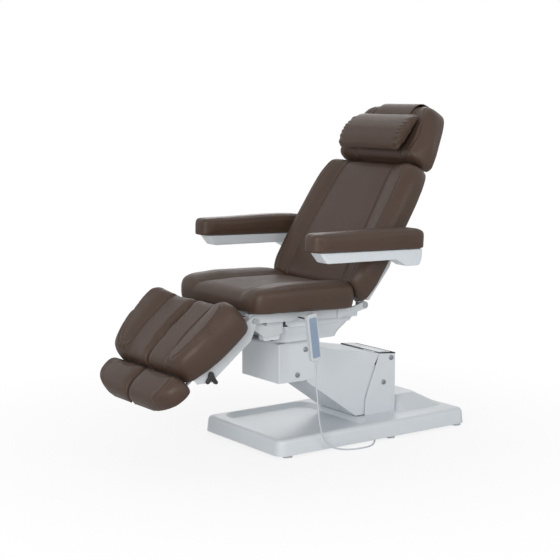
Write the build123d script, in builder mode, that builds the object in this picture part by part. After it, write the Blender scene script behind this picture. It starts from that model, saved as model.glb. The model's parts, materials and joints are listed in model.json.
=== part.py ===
from build123d import *
from math import atan2, cos, degrees, hypot, radians, sin, tan
import os

# An electric treatment chair with split leg rests, in millimetres.
# +X is the occupant's left, the chair faces -Y and +Z is up, with the floor at zero.
# The pieces stand as they do with the lift at its lowest and the back half raised.

os.makedirs("parts", exist_ok=True)

# Overall sizes and places
base_length = 1040.0
base_width = 580.0
base_front = -245.0
base_lift = 12.0
base_rear = base_front + base_length
base_middle = base_front + base_length / 2

rim_height = 80.0
recess_height = 62.0
hump_height = 135.0
base_corner = 42.0
base_draft = 6.0
rim_round = 20.0
moulding_wall = 4.0

sheet = 2.0
running_gap = 0.4
pin_clearance = 0.15
cut_overrun = 5.0

# Lift linkage: two parallel links between the pedestal and the carriage
link_length = 483.0
link_rise = 10.7
link_pivot_setback = 717.0
link_pivot_y = base_front + link_pivot_setback
link_pivot_z = 323.5
link_offset_y = -43.0
link_offset_z = -105.5

axle_radius = 8.0
bar_thickness = 12.0
bar_inside = 74.0
upper_bar_half = 11.0
upper_eye_radius = 13.5
lower_bar_half = 16.0
lower_eye_radius = 19.0

cover_half = 139.0
channel_clearance = 2.5
channel_half = cover_half - sheet - channel_clearance
shell_half = channel_half - sheet - running_gap

# Seat, back, head and leg planes
upright_angle = 90.0
seat_tilt = 2.0
seat_rear_setback = 383.0
seat_rear_y = base_front + seat_rear_setback
seat_rear_z = 594.0
seat_length = 501.0
seat_half = 288.0

back_angle = 56.9
back_foot_setback = 450.0
back_foot_y = base_front + back_foot_setback
back_foot_z = 611.0
back_length = 634.0
back_half = 280.0

head_angle = 62.0
head_foot_setback = 836.0
head_foot_y = base_front + head_foot_setback
head_foot_z = 1152.0
head_length = 286.0
head_half = 240.0

leg_angle = 38.0
leg_hinge_setback = -100.0
leg_hinge_y = base_front + leg_hinge_setback
leg_hinge_z = 585.0
leg_cushion_start = 34.0
leg_cushion_length = 350.0
leg_outer_top = 278.0
leg_outer_foot = 250.0
leg_split = 6.0

arm_centre_x = 410.0
arm_pad_width = 100.0
arm_pad_height = 84.0
arm_pivot_setback = 606.0
arm_pivot_y = base_front + arm_pivot_setback
arm_pivot_z = 814.0


def side_plane(y, z, slope):
    """A plane seen from the occupant's left, with its x axis rising along the slope."""
    along = (0, cos(radians(slope)), sin(radians(slope)))
    return Plane(origin=(0, y, z), x_dir=along, z_dir=(1, 0, 0))


def section_plane(side, along):
    """A plane square to a side plane's x axis, with its y axis out of the padded face."""
    origin = side.from_local_coords(Vector(along, 0, 0))
    return Plane(origin=origin, x_dir=(1, 0, 0), z_dir=side.x_dir * -1)


def shifted(side, x):
    """The same side plane, moved across the chair."""
    return side.offset(x)


def finish(piece, name):
    """Labels a finished piece and writes its file."""
    piece.part.label = name
    export_step(piece.part, f"parts/{name}.step")


def mirrored(piece):
    """The same piece on the other side of the chair."""
    with BuildPart() as other:
        add(piece.part)
        mirror(about=Plane.YZ, mode=Mode.REPLACE)
    return other


def polar(y, z, distance, slope):
    """A point at a distance from another one, toward the feet and up the slope."""
    return y - distance * cos(radians(slope)), z + distance * sin(radians(slope))


level_side = side_plane(0, 0, 0)

upper_rear = (link_pivot_y, link_pivot_z)
lower_rear = (link_pivot_y + link_offset_y, link_pivot_z + link_offset_z)
upper_front = polar(*upper_rear, link_length, link_rise)
lower_front = polar(*lower_rear, link_length, link_rise)

upper_link = side_plane(*upper_rear, -link_rise)
lower_link = side_plane(*lower_rear, -link_rise)

seat_side = side_plane(seat_rear_y, seat_rear_z, -seat_tilt)
back_side = side_plane(back_foot_y, back_foot_z, back_angle)
head_side = side_plane(head_foot_y, head_foot_z, head_angle)
leg_side = side_plane(leg_hinge_y, leg_hinge_z, leg_angle)


# Base: moulded cover over a welded frame on six levelling feet

hump_front_setback = 744.0
hump_front = base_front + hump_front_setback
hump_rear_margin = 14.0
hump_rear = base_rear - hump_rear_margin
hump_top_rear_setback = 912.0
hump_top_rear = base_front + hump_top_rear_setback
hump_half = 214.0
hump_top_half = 84.0
hump_corner = 40.0
recess_front_setback = 88.0
recess_front = base_front + recess_front_setback
recess_rear_setback = 505.0
recess_rear = base_front + recess_rear_setback
recess_half = 232.0
recess_corner = 46.0
recess_draft = 52.0

pedestal_rear_setback = 741.0
pedestal_rear = base_front + pedestal_rear_setback
pedestal_foot_front_setback = 569.0
pedestal_foot_front = base_front + pedestal_foot_front_setback
opening_margin = 16.0
opening_rear_margin = 5.0
opening_rear = pedestal_rear - opening_rear_margin


def base_form(inset):
    """The cover's outside, or its inside when it is inset by the wall."""
    with BuildPart() as form:
        with BuildSketch(Plane.XY.offset(base_lift)):
            with Locations((0, base_middle)):
                RectangleRounded(base_width - 2 * inset, base_length - 2 * inset, base_corner - inset)
        extrude(amount=rim_height - inset - base_lift, taper=base_draft)
        fillet(form.edges().group_by(Axis.Z)[-1], radius=rim_round - inset)
        with BuildSketch(Plane.XY.offset(recess_height)):
            with Locations((0, (hump_front + hump_rear) / 2)):
                RectangleRounded(2 * (hump_half - inset), hump_rear - hump_front - 2 * inset, hump_corner)
        with BuildSketch(Plane.XY.offset(hump_height - inset)):
            with Locations((0, (hump_front + hump_corner / 2 + hump_top_rear) / 2)):
                RectangleRounded(
                    2 * (hump_top_half - inset),
                    hump_top_rear - hump_front - hump_corner / 2 - 2 * inset,
                    hump_corner,
                )
        loft()
        with BuildSketch(Plane.XY.offset(recess_height - inset)):
            with Locations((0, (recess_front + recess_rear) / 2)):
                RectangleRounded(
                    2 * (recess_half + inset), recess_rear - recess_front + 2 * inset, recess_corner
                )
        extrude(amount=rim_height - recess_height + cut_overrun, taper=-recess_draft, mode=Mode.SUBTRACT)
    return form.part


with BuildPart() as base_cover:
    add(base_form(0))
    add(base_form(moulding_wall), mode=Mode.SUBTRACT)
    with BuildSketch(Plane.XY.offset(base_lift)):
        with Locations((0, base_middle)):
            RectangleRounded(
                base_width - 2 * moulding_wall, base_length - 2 * moulding_wall, base_corner - moulding_wall
            )
    extrude(amount=moulding_wall, mode=Mode.SUBTRACT)
    with BuildSketch(Plane.XY.offset(recess_height)):
        with Locations((0, (pedestal_foot_front + opening_margin + opening_rear) / 2)):
            Rectangle(
                2 * (cover_half - opening_margin), opening_rear - pedestal_foot_front - opening_margin
            )
    extrude(amount=hump_height, both=True, mode=Mode.SUBTRACT)
finish(base_cover, "base_cover")

frame_bottom = 20.0
tube_height = 30.0
tube_width = 50.0
outrigger_width = 40.0
frame_rail_x = 205.0
frame_end_margin = 45.0
foot_x = 258.0
foot_front_setback = 62.0
foot_middle_setback = 615.0
foot_rear_margin = 35.0
foot_rows = [
    base_front + foot_front_setback,
    base_front + foot_middle_setback,
    base_rear - foot_rear_margin,
]
outrigger_overhang = 8.0
mast_plate = 8.0
mast_half = 66.0

with BuildPart() as base_frame:
    with BuildSketch(Plane.XY.offset(frame_bottom)):
        for side in (-1, 1):
            with Locations((side * frame_rail_x, base_middle)):
                Rectangle(tube_width, base_length - 2 * frame_end_margin)
        for row in foot_rows:
            with Locations((0, row)):
                Rectangle(2 * (foot_x + outrigger_overhang), outrigger_width)
        with Locations((0, (pedestal_foot_front + pedestal_rear) / 2)):
            Rectangle(2 * frame_rail_x, pedestal_rear - pedestal_foot_front - 2 * opening_margin)
    extrude(amount=tube_height)
finish(base_frame, "base_frame")

foot_pad_radius = 21.0
foot_pad_height = 9.0
foot_stud_radius = 6.0

with BuildPart() as levelling_feet:
    for row in foot_rows:
        for side in (-1, 1):
            with Locations((side * foot_x, row)):
                with Locations((0, 0, 0)):
                    Cylinder(
                        foot_pad_radius, foot_pad_height, align=(Align.CENTER, Align.CENTER, Align.MIN)
                    )
                with Locations((0, 0, foot_pad_height)):
                    Cylinder(
                        foot_stud_radius,
                        frame_bottom - foot_pad_height,
                        align=(Align.CENTER, Align.CENTER, Align.MIN),
                    )
finish(levelling_feet, "levelling_feet")


# Pedestal: two upright plates that carry the rear pivots, inside a folded steel cover

frame_top = frame_bottom + tube_height
mast_front_setback = 600.0
mast_front = base_front + mast_front_setback
mast_gap = 4.0
mast_rear = pedestal_rear - sheet - mast_gap
mast_head = 12.0
mast_top = link_pivot_z + mast_head
mast_shoulder_z = 250.0
mast_shoulder = 26.0
mast_shoulder_y = link_pivot_y - mast_shoulder
mast_web = 8.0
mast_web_top = 300.0
lift_anchor_setback = 628.0
lift_anchor_y = base_front + lift_anchor_setback
lift_anchor_z = 104.0
anchor_lug_inside = 17.0
anchor_lug_thickness = 8.0
anchor_lug_radius = 17.0
anchor_pin_radius = 7.0


def axle_circle(side_view, point, radius):
    """A circle to cut a hole right across a piece, along the chair's X axis."""
    with BuildSketch(side_view) as circle:
        with Locations(point):
            Circle(radius)
    return circle.sketch


with BuildPart() as pedestal_frame:
    for side in (-1, 1):
        with BuildSketch(shifted(level_side, side * (mast_half - mast_plate / 2))):
            with BuildLine():
                Polyline(
                    (mast_front, frame_top),
                    (mast_rear, frame_top),
                    (mast_rear, mast_top),
                    (mast_shoulder_y, mast_top),
                    (mast_shoulder_y, mast_shoulder_z),
                    (mast_front, mast_shoulder_z - (mast_shoulder_y - mast_front) / 2),
                    close=True,
                )
            make_face()
        extrude(amount=mast_plate / 2, both=True)
    with BuildSketch(level_side):
        with Locations((mast_rear - mast_web / 2, (frame_top + mast_web_top) / 2)):
            Rectangle(mast_web, mast_web_top - frame_top)
    extrude(amount=mast_half, both=True)
    for side in (-1, 1):
        with BuildSketch(shifted(level_side, side * (anchor_lug_inside + anchor_lug_thickness / 2))):
            with Locations((lift_anchor_y, lift_anchor_z)):
                Circle(anchor_lug_radius)
            with Locations((lift_anchor_y, (lift_anchor_z + frame_top) / 2)):
                Rectangle(2 * anchor_lug_radius, lift_anchor_z - frame_top)
        extrude(amount=anchor_lug_thickness / 2, both=True)
    extrude(
        axle_circle(level_side, upper_rear, axle_radius + pin_clearance),
        amount=base_width,
        both=True,
        mode=Mode.SUBTRACT,
    )
    extrude(
        axle_circle(level_side, lower_rear, axle_radius + pin_clearance),
        amount=base_width,
        both=True,
        mode=Mode.SUBTRACT,
    )
    extrude(
        axle_circle(level_side, (lift_anchor_y, lift_anchor_z), anchor_pin_radius),
        amount=anchor_lug_inside + anchor_lug_thickness,
        both=True,
    )
finish(pedestal_frame, "pedestal_frame")

pedestal_top_rear = 340.0
pedestal_top_front = 349.0
gap_top_setback = 650.0
gap_top_y = base_front + gap_top_setback
gap_waist_setback = 573.0
gap_waist_y = base_front + gap_waist_setback
gap_waist_z = 156.0
gap_blend_radius = 60.0
gasket_height = 5.0


with BuildPart() as pedestal_cover:
    with BuildSketch(level_side):
        with BuildLine():
            FilletPolyline(
                (pedestal_foot_front, rim_height),
                (gap_waist_y, gap_waist_z),
                (gap_top_y, pedestal_top_front),
                radius=gap_blend_radius,
            )
            Polyline(
                (gap_top_y, pedestal_top_front),
                (pedestal_rear, pedestal_top_rear),
                (pedestal_rear, rim_height),
                (pedestal_foot_front, rim_height),
            )
        make_face()
    extrude(amount=cover_half, both=True)
    with BuildSketch(level_side):
        with BuildLine():
            Polyline(
                (pedestal_foot_front - cut_overrun, rim_height - cut_overrun),
                (pedestal_rear - sheet, rim_height - cut_overrun),
                (pedestal_rear - sheet, pedestal_top_front + cut_overrun),
                (pedestal_foot_front - cut_overrun, pedestal_top_front + cut_overrun),
                close=True,
            )
        make_face()
    extrude(amount=cover_half - sheet, both=True, mode=Mode.SUBTRACT)
    extrude(
        axle_circle(level_side, upper_rear, axle_radius + pin_clearance),
        amount=base_width,
        both=True,
        mode=Mode.SUBTRACT,
    )
    extrude(
        axle_circle(level_side, lower_rear, axle_radius + pin_clearance),
        amount=base_width,
        both=True,
        mode=Mode.SUBTRACT,
    )
finish(pedestal_cover, "pedestal_cover")

gasket_slope = -degrees(
    atan2(pedestal_top_front - pedestal_top_rear, pedestal_rear - gap_top_y)
)
gasket_side = side_plane(gap_top_y, pedestal_top_front, gasket_slope)
gasket_length = hypot(pedestal_rear - gap_top_y, pedestal_top_front - pedestal_top_rear)

with BuildPart() as pedestal_gasket:
    with BuildSketch(gasket_side):
        with Locations((gasket_length / 2, gasket_height / 2)):
            Rectangle(gasket_length, gasket_height)
    extrude(amount=cover_half, both=True)
    with BuildSketch(gasket_side):
        with Locations((gasket_length / 2 - sheet, gasket_height / 2)):
            Rectangle(gasket_length, gasket_height + cut_overrun)
    extrude(amount=cover_half - sheet, both=True, mode=Mode.SUBTRACT)
finish(pedestal_gasket, "pedestal_gasket")


# Pivot axles with domed caps outside the covers

cap_radius = 11.0
cap_height = 6.0
cap_round = 4.0
axle_half = cover_half


def axles(points, half, radius):
    """Round bars across the chair."""
    with BuildPart() as bars:
        with BuildSketch(level_side):
            with Locations(*points):
                Circle(radius)
        extrude(amount=half, both=True)
    return bars


def caps(points):
    """A domed cap at both ends of each axle."""
    with BuildPart() as domes:
        for side in (-1, 1):
            with BuildSketch(shifted(level_side, side * cover_half)):
                with Locations(*points):
                    Circle(cap_radius)
            extrude(amount=side * cap_height)
        fillet(
            domes.edges().filter_by(GeomType.CIRCLE).group_by(Axis.X)[0]
            + domes.edges().filter_by(GeomType.CIRCLE).group_by(Axis.X)[-1],
            radius=cap_round,
        )
    return domes


rear_axles = axles([upper_rear, lower_rear], axle_half, axle_radius)
finish(rear_axles, "rear_pivot_axles")
rear_caps = caps([upper_rear, lower_rear])
finish(rear_caps, "rear_pivot_caps")
front_axles = axles([upper_front, lower_front], axle_half, axle_radius)
finish(front_axles, "front_pivot_axles")
front_caps = caps([upper_front, lower_front])
finish(front_caps, "front_pivot_caps")


# Lift links, each a pair of bars with eyes, joined by cross tubes

cross_tube_radius = 10.0
upper_tube_shares = (0.22, 0.78)
lower_tube_shares = (0.30, 0.80)
open_pivot_gap = 1.5
lift_lug_share = 0.53
lift_lug_radius = 21.0
lift_lug_inside = 15.0
lift_lug_thickness = 8.0
lift_lug_drop = 17.0
lift_pin_radius = 6.5
lift_pin_slop = 6.5


def link_pair(side_view, bar_half, eye_radius, tube_shares, tube_half, front_gap):
    """Two flat bars with an eye at each end and round tubes between them."""
    with BuildPart() as link:
        for side in (-1, 1):
            with BuildSketch(shifted(side_view, side * (bar_inside + bar_thickness / 2))):
                with Locations((-link_length / 2, 0)):
                    Rectangle(link_length, 2 * bar_half)
                with Locations((0, 0), (-link_length, 0)):
                    Circle(eye_radius)
                with Locations((0, 0)):
                    Circle(axle_radius + pin_clearance, mode=Mode.SUBTRACT)
                with Locations((-link_length, 0)):
                    Circle(axle_radius + front_gap, mode=Mode.SUBTRACT)
            extrude(amount=bar_thickness / 2, both=True)
        with BuildSketch(side_view):
            with Locations(*[(-share * link_length, 0) for share in tube_shares]):
                Circle(cross_tube_radius)
        extrude(amount=tube_half, both=True)
    return link


upper_arm = link_pair(
    upper_link,
    upper_bar_half,
    upper_eye_radius,
    upper_tube_shares,
    channel_half - sheet,
    open_pivot_gap,
)
finish(upper_arm, "upper_lift_arm")

with BuildPart() as lower_arm:
    add(
        link_pair(
            lower_link, lower_bar_half, lower_eye_radius, lower_tube_shares, shell_half - sheet, pin_clearance
        ).part
    )
    with BuildSketch(lower_link):
        with Locations((-lift_lug_share * link_length, 0)):
            Circle(cross_tube_radius)
    extrude(amount=bar_inside, both=True)
    for side in (-1, 1):
        with BuildSketch(shifted(lower_link, side * (lift_lug_inside + lift_lug_thickness / 2))):
            with Locations((-lift_lug_share * link_length, -lift_lug_drop - cross_tube_radius)):
                Circle(lift_lug_radius)
            with Locations((-lift_lug_share * link_length, -lift_lug_drop / 2)):
                Rectangle(2 * cross_tube_radius, lift_lug_drop + cross_tube_radius)
        extrude(amount=lift_lug_thickness / 2, both=True)
    for side in (-1, 1):
        with BuildSketch(shifted(lower_link, side * (lift_lug_inside + lift_lug_thickness / 2))):
            with Locations((-lift_lug_share * link_length, -lift_lug_drop - cross_tube_radius)):
                Circle(lift_pin_radius + lift_pin_slop)
        extrude(amount=lift_lug_thickness, both=True, mode=Mode.SUBTRACT)
finish(lower_arm, "lower_lift_arm")

channel_rear_gap = 66.0
channel_front_gap = 44.0
channel_flange = 50.0
channel_top = upper_bar_half + sheet

with BuildPart() as upper_arm_cover:
    with BuildSketch(upper_link):
        with BuildLine():
            Polyline(
                (-channel_rear_gap, channel_top),
                (-link_length + channel_front_gap, channel_top),
                (-link_length + channel_front_gap, -channel_flange),
                (-channel_rear_gap - channel_flange / 2, -channel_flange),
                close=True,
            )
        make_face()
    extrude(amount=channel_half, both=True)
    with BuildSketch(upper_link):
        with Locations((-link_length / 2, -link_length / 2 + upper_bar_half)):
            Rectangle(link_length, link_length)
    extrude(amount=channel_half - sheet, both=True, mode=Mode.SUBTRACT)
finish(upper_arm_cover, "upper_arm_cover")

shell_tip_setback = 522.0
shell_tip_y = base_front + shell_tip_setback
shell_floor = rim_height + 4.0
shell_nose_setback = 254.0
shell_nose_y = base_front + shell_nose_setback
shell_nose_z = 272.0
shell_nose_top_z = 358.0
shell_rear_top_setback = 642.0
shell_rear_top_y = base_front + shell_rear_top_setback
shell_rear_top_z = 298.0
shell_tuck = 14.0


front_plate_slope = degrees(atan2(shell_nose_z - shell_floor, shell_tip_y - shell_nose_y))
front_plate_side = side_plane(shell_nose_y, shell_nose_z, -front_plate_slope)
front_plate_length = hypot(shell_nose_z - shell_floor, shell_tip_y - shell_nose_y)

with BuildPart() as lower_arm_shell:
    with BuildSketch(level_side):
        with BuildLine():
            Polyline(
                (shell_nose_y, shell_nose_z),
                (shell_tip_y, shell_floor),
                (pedestal_foot_front + shell_tuck, shell_floor),
                (gap_waist_y + shell_tuck, gap_waist_z),
                (shell_rear_top_y, shell_rear_top_z),
                (shell_nose_y + shell_tuck, shell_nose_top_z),
                close=True,
            )
        make_face()
    extrude(amount=shell_half, both=True)
    with BuildSketch(front_plate_side):
        with Locations((front_plate_length / 2, link_length / 2 + sheet)):
            Rectangle(2 * link_length, link_length)
    extrude(amount=shell_half - sheet, both=True, mode=Mode.SUBTRACT)
finish(lower_arm_shell, "lower_arm_shell")


# Lift actuator: a motor and tube hinged on the pedestal, with a rod to the lower link

lift_eye = lower_link.from_local_coords(
    Vector(-lift_lug_share * link_length, -lift_lug_drop - cross_tube_radius, 0)
)
lift_eye_y, lift_eye_z = lift_eye.Y, lift_eye.Z
lift_span = hypot(lift_anchor_y - lift_eye_y, lift_eye_z - lift_anchor_z)
lift_slope = degrees(atan2(lift_anchor_z - lift_eye_z, lift_anchor_y - lift_eye_y))
lift_axis = side_plane(lift_anchor_y, lift_anchor_z, lift_slope)
actuator_eye_radius = 14.0
eye_gap = 1.0
actuator_eye_half = anchor_lug_inside - eye_gap
tube_radius = 19.0
tube_start = 20.0
tube_length = 178.0
rod_radius = 9.0
rod_tail = 30.0
rod_eye_radius = 13.0
rod_eye_half = lift_lug_inside - eye_gap
motor_radius = 17.0
motor_length = 88.0
motor_offset = 38.0
gearbox_length = 34.0


def actuator_body(axis, eye_half, eye_radius, pin_radius, tube_end, motor_sign):
    """A tube with a rear eye, a gearbox and a motor lying beside it."""
    square = Plane(origin=axis.origin, x_dir=(1, 0, 0), z_dir=axis.x_dir * -1)
    with BuildPart() as body:
        with BuildSketch(axis):
            Circle(eye_radius)
            with Locations((-tube_start / 2, 0)):
                Rectangle(tube_start, 2 * eye_radius)
        extrude(amount=eye_half, both=True)
        with BuildSketch(square.offset(tube_start)):
            Circle(tube_radius)
        extrude(amount=tube_end - tube_start)
        with BuildSketch(square.offset(tube_start)):
            with Locations((motor_sign * motor_offset / 2, 0)):
                SlotCenterToCenter(motor_offset, 2 * tube_radius + sheet)
        extrude(amount=gearbox_length)
        with BuildSketch(square.offset(tube_start + gearbox_length)):
            with Locations((motor_sign * motor_offset, 0)):
                Circle(motor_radius)
        extrude(amount=motor_length)
        with BuildSketch(square.offset(tube_start + rod_tail)):
            Circle(rod_radius + running_gap)
        extrude(amount=tube_end, mode=Mode.SUBTRACT)
        with BuildSketch(axis):
            Circle(pin_radius + pin_clearance)
        extrude(amount=base_width, both=True, mode=Mode.SUBTRACT)
    return body


def actuator_rod(axis, span, start, eye_radius, eye_half, pin_radius, pin_half):
    """A rod with a cross pin in its eye."""
    square = Plane(origin=axis.origin, x_dir=(1, 0, 0), z_dir=axis.x_dir * -1)
    with BuildPart() as rod:
        with BuildSketch(square.offset(start)):
            Circle(rod_radius)
        extrude(amount=span - start)
        with BuildSketch(axis):
            with Locations((-span, 0)):
                Circle(eye_radius)
        extrude(amount=eye_half, both=True)
        with BuildSketch(axis):
            with Locations((-span, 0)):
                Circle(pin_radius)
        extrude(amount=pin_half, both=True)
    return rod


lift_body = actuator_body(
    lift_axis, actuator_eye_half, actuator_eye_radius, anchor_pin_radius, tube_start + tube_length, 1
)
finish(lift_body, "lift_actuator")
lift_rod = actuator_rod(
    lift_axis,
    lift_span,
    tube_start + rod_tail + running_gap,
    rod_eye_radius,
    rod_eye_half,
    lift_pin_radius,
    lift_lug_inside + lift_lug_thickness,
)
finish(lift_rod, "lift_actuator_rod")


# Carriage: a level box on the front pivots, under the swivel

carriage_front_setback = 104.0
carriage_front = base_front + carriage_front_setback
carriage_rear_setback = 300.0
carriage_rear = base_front + carriage_rear_setback
carriage_bottom = 280.0
carriage_top = 449.0
swivel_setback = 210.0
swivel_y = base_front + swivel_setback
ring_outer = 96.0
ring_bore = 60.0
ring_stand = 1.0
ring_top = carriage_top + ring_stand
ring_bottom = 438.0
carriage_plate = 8.0
carriage_plate_radius = 104.0
carriage_web_front = carriage_front + sheet
carriage_web_bottom = 288.0
carriage_web_depth = 66.0
carriage_web_rear = lower_front[0] + carriage_web_depth

with BuildPart() as carriage_frame:
    with BuildSketch(Plane.XY.offset(ring_bottom - carriage_plate)):
        with Locations((0, swivel_y)):
            Circle(carriage_plate_radius)
            Circle(ring_bore - carriage_plate, mode=Mode.SUBTRACT)
    extrude(amount=carriage_plate)
    for side in (-1, 1):
        with BuildSketch(shifted(level_side, side * (mast_half - mast_plate / 2))):
            with BuildLine():
                Polyline(
                    (carriage_web_front, ring_bottom - carriage_plate),
                    (carriage_web_front, carriage_web_bottom),
                    (lower_front[0] + lower_eye_radius, carriage_web_bottom),
                    (carriage_web_rear, upper_front[1] - lower_eye_radius),
                    (carriage_web_rear, ring_bottom - carriage_plate),
                    close=True,
                )
            make_face()
        extrude(amount=mast_plate / 2, both=True)
    with BuildSketch(level_side):
        with Locations(
            (carriage_web_front + mast_web / 2, (ring_bottom - carriage_plate + carriage_web_bottom) / 2)
        ):
            Rectangle(mast_web, ring_bottom - carriage_plate - carriage_web_bottom)
    extrude(amount=mast_half, both=True)
    extrude(
        axle_circle(level_side, upper_front, axle_radius + pin_clearance),
        amount=base_width,
        both=True,
        mode=Mode.SUBTRACT,
    )
    extrude(
        axle_circle(level_side, lower_front, axle_radius + pin_clearance),
        amount=base_width,
        both=True,
        mode=Mode.SUBTRACT,
    )
finish(carriage_frame, "carriage_frame")

with BuildPart() as carriage_cover:
    with BuildSketch(level_side):
        with Locations(((carriage_front + carriage_rear) / 2, (carriage_bottom + carriage_top) / 2)):
            Rectangle(carriage_rear - carriage_front, carriage_top - carriage_bottom)
    extrude(amount=cover_half, both=True)
    fillet(
        carriage_cover.edges().filter_by(Axis.Z).group_by(Axis.Y)[0]
        + carriage_cover.edges().filter_by(Axis.X).group_by(Axis.Z)[-1].group_by(Axis.Y)[0],
        radius=sheet * 2,
    )
    with BuildSketch(level_side):
        with Locations(
            (
                (carriage_front + carriage_rear) / 2 + sheet,
                (carriage_bottom + carriage_top) / 2 - sheet,
            )
        ):
            Rectangle(carriage_rear - carriage_front, carriage_top - carriage_bottom)
    extrude(amount=cover_half - sheet, both=True, mode=Mode.SUBTRACT)
    with BuildSketch(Plane.XY.offset(carriage_top)):
        with Locations((0, swivel_y)):
            Circle(ring_outer + running_gap)
    extrude(amount=sheet, both=True, mode=Mode.SUBTRACT)
    extrude(
        axle_circle(level_side, upper_front, axle_radius + pin_clearance),
        amount=base_width,
        both=True,
        mode=Mode.SUBTRACT,
    )
    extrude(
        axle_circle(level_side, lower_front, axle_radius + pin_clearance),
        amount=base_width,
        both=True,
        mode=Mode.SUBTRACT,
    )
finish(carriage_cover, "carriage_cover")

with BuildPart() as swivel_bearing:
    with BuildSketch(Plane.XY.offset(ring_bottom)):
        with Locations((0, swivel_y)):
            Circle(ring_outer)
            Circle(ring_bore, mode=Mode.SUBTRACT)
    extrude(amount=ring_top - ring_bottom)
finish(swivel_bearing, "swivel_bearing")

control_box_width = 90.0
control_box_depth = 40.0
control_box_height = 66.0
control_box_bottom = 330.0

with BuildPart() as control_box:
    with BuildSketch(Plane.XY.offset(control_box_bottom)):
        with Locations((0, carriage_web_front + mast_web + control_box_depth / 2)):
            Rectangle(control_box_width, control_box_depth)
    extrude(amount=control_box_height)
    fillet(control_box.edges().group_by(Axis.Y)[-1], radius=sheet * 2)
finish(control_box, "control_box")


# Turntable: disc, steel mount with the tilt hinge, and a moulded housing round it

disc_radius = 158.0
disc_thickness = 11.0
disc_bottom = ring_top + running_gap
disc_top = disc_bottom + disc_thickness
hub_clearance = 0.1
hub_depth = 9.0

with BuildPart() as turntable_plate:
    with BuildSketch(Plane.XY.offset(disc_bottom)):
        with Locations((0, swivel_y)):
            Circle(disc_radius)
    extrude(amount=disc_thickness)
    chamfer(turntable_plate.edges().group_by(Axis.Z)[-1], length=sheet)
    with BuildSketch(Plane.XY.offset(disc_bottom)):
        with Locations((0, swivel_y)):
            Circle(ring_bore - hub_clearance)
    extrude(amount=-hub_depth)
finish(turntable_plate, "turntable_plate")

housing_front_setback = 96.0
housing_front = base_front + housing_front_setback
housing_rear_setback = 396.0
housing_rear = base_front + housing_rear_setback
housing_half = 173.0
housing_top_front_setback = 62.0
housing_top_front = base_front + housing_top_front_setback
housing_top_rear_setback = 446.0
housing_top_rear = base_front + housing_top_rear_setback
housing_top_half = 204.0
housing_top = 534.0
housing_waist_z = 484.0
housing_shoulder_z = 514.0
housing_waist_share = 0.22
housing_shoulder_share = 0.72
housing_corner = 46.0
housing_wall = 4.0


def housing_form(inset):
    """A tub that flares toward its rim in a soft double curve."""
    levels = (
        (disc_top, 0.0),
        (housing_waist_z, housing_waist_share),
        (housing_shoulder_z, housing_shoulder_share),
        (housing_top, 1.0),
    )
    with BuildPart() as form:
        for height, share in levels:
            front = housing_front + share * (housing_top_front - housing_front) + inset
            rear = housing_rear + share * (housing_top_rear - housing_rear) - inset
            half = housing_half + share * (housing_top_half - housing_half) - inset
            with BuildSketch(Plane.XY.offset(height)):
                with Locations((0, (front + rear) / 2)):
                    RectangleRounded(2 * half, rear - front, housing_corner)
        loft()
    return form.part


tilt_setback = 425.0
tilt_y = base_front + tilt_setback
tilt_z = 536.0

with BuildPart() as swivel_housing:
    add(housing_form(0))
    add(housing_form(housing_wall), mode=Mode.SUBTRACT)
    with BuildSketch(Plane.XY.offset(disc_top)):
        with Locations((0, swivel_y)):
            Circle(disc_radius)
    extrude(amount=housing_wall, mode=Mode.SUBTRACT)
finish(swivel_housing, "swivel_housing")

mount_half = 84.0
mount_front_setback = 120.0
mount_front = base_front + mount_front_setback
mount_rear_setback = 366.0
mount_rear = base_front + mount_rear_setback
mount_top = 526.0
mount_wall = 6.0
tilt_lug_thickness = 10.0
tilt_lug_x = mount_half + tilt_lug_thickness
tilt_lug_radius = 15.0
tilt_pin_radius = 7.0
tilt_arm_height = 26.0

with BuildPart() as tilt_mount:
    with BuildSketch(Plane.XY.offset(disc_top)):
        with Locations((0, (mount_front + mount_rear) / 2)):
            Rectangle(2 * mount_half, mount_rear - mount_front)
            Rectangle(
                2 * (mount_half - mount_wall),
                mount_rear - mount_front - 2 * mount_wall,
                mode=Mode.SUBTRACT,
            )
    extrude(amount=mount_top - disc_top)
    for side in (-1, 1):
        with BuildSketch(shifted(level_side, side * (tilt_lug_x - tilt_lug_thickness / 2))):
            with Locations((tilt_y, tilt_z)):
                Circle(tilt_lug_radius)
            with BuildLine():
                Polyline(
                    (tilt_y, tilt_z + tilt_lug_radius),
                    (mount_front + mount_wall, tilt_z - tilt_lug_radius / 2),
                    (mount_front + mount_wall, tilt_z - tilt_arm_height - tilt_lug_radius / 2),
                    (mount_rear, tilt_z - tilt_arm_height - tilt_lug_radius / 2),
                    (tilt_y, tilt_z - tilt_lug_radius),
                    close=True,
                )
            make_face()
        extrude(amount=tilt_lug_thickness / 2, both=True)
    extrude(
        axle_circle(level_side, (tilt_y, tilt_z), tilt_pin_radius + pin_clearance),
        amount=base_width,
        both=True,
        mode=Mode.SUBTRACT,
    )
finish(tilt_mount, "tilt_mount")


# Seat: steel frame on the tilt hinge, with the padded seat on top

rail_x = 229.0
rail_half = 15.0
rail_top = -0.3
rail_bottom = -40.0
rail_front_over = 18.0
rail_rear_gap = 56.0
seat_cross_top = -10.0
seat_cross_bottom = -34.0
seat_cross_half = 15.0
seat_cross_shares = (0.08, 0.46, 0.80)
back_pivot_setback = 473.0
back_pivot_y = base_front + back_pivot_setback
back_pivot_z = 597.0
back_pin_radius = 7.0
back_lug_radius = 16.0
back_plate = 8.0
leg_shaft_radius = 10.0
leg_shaft_half = 262.0
seat_tilt_lug_radius = 14.0

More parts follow.
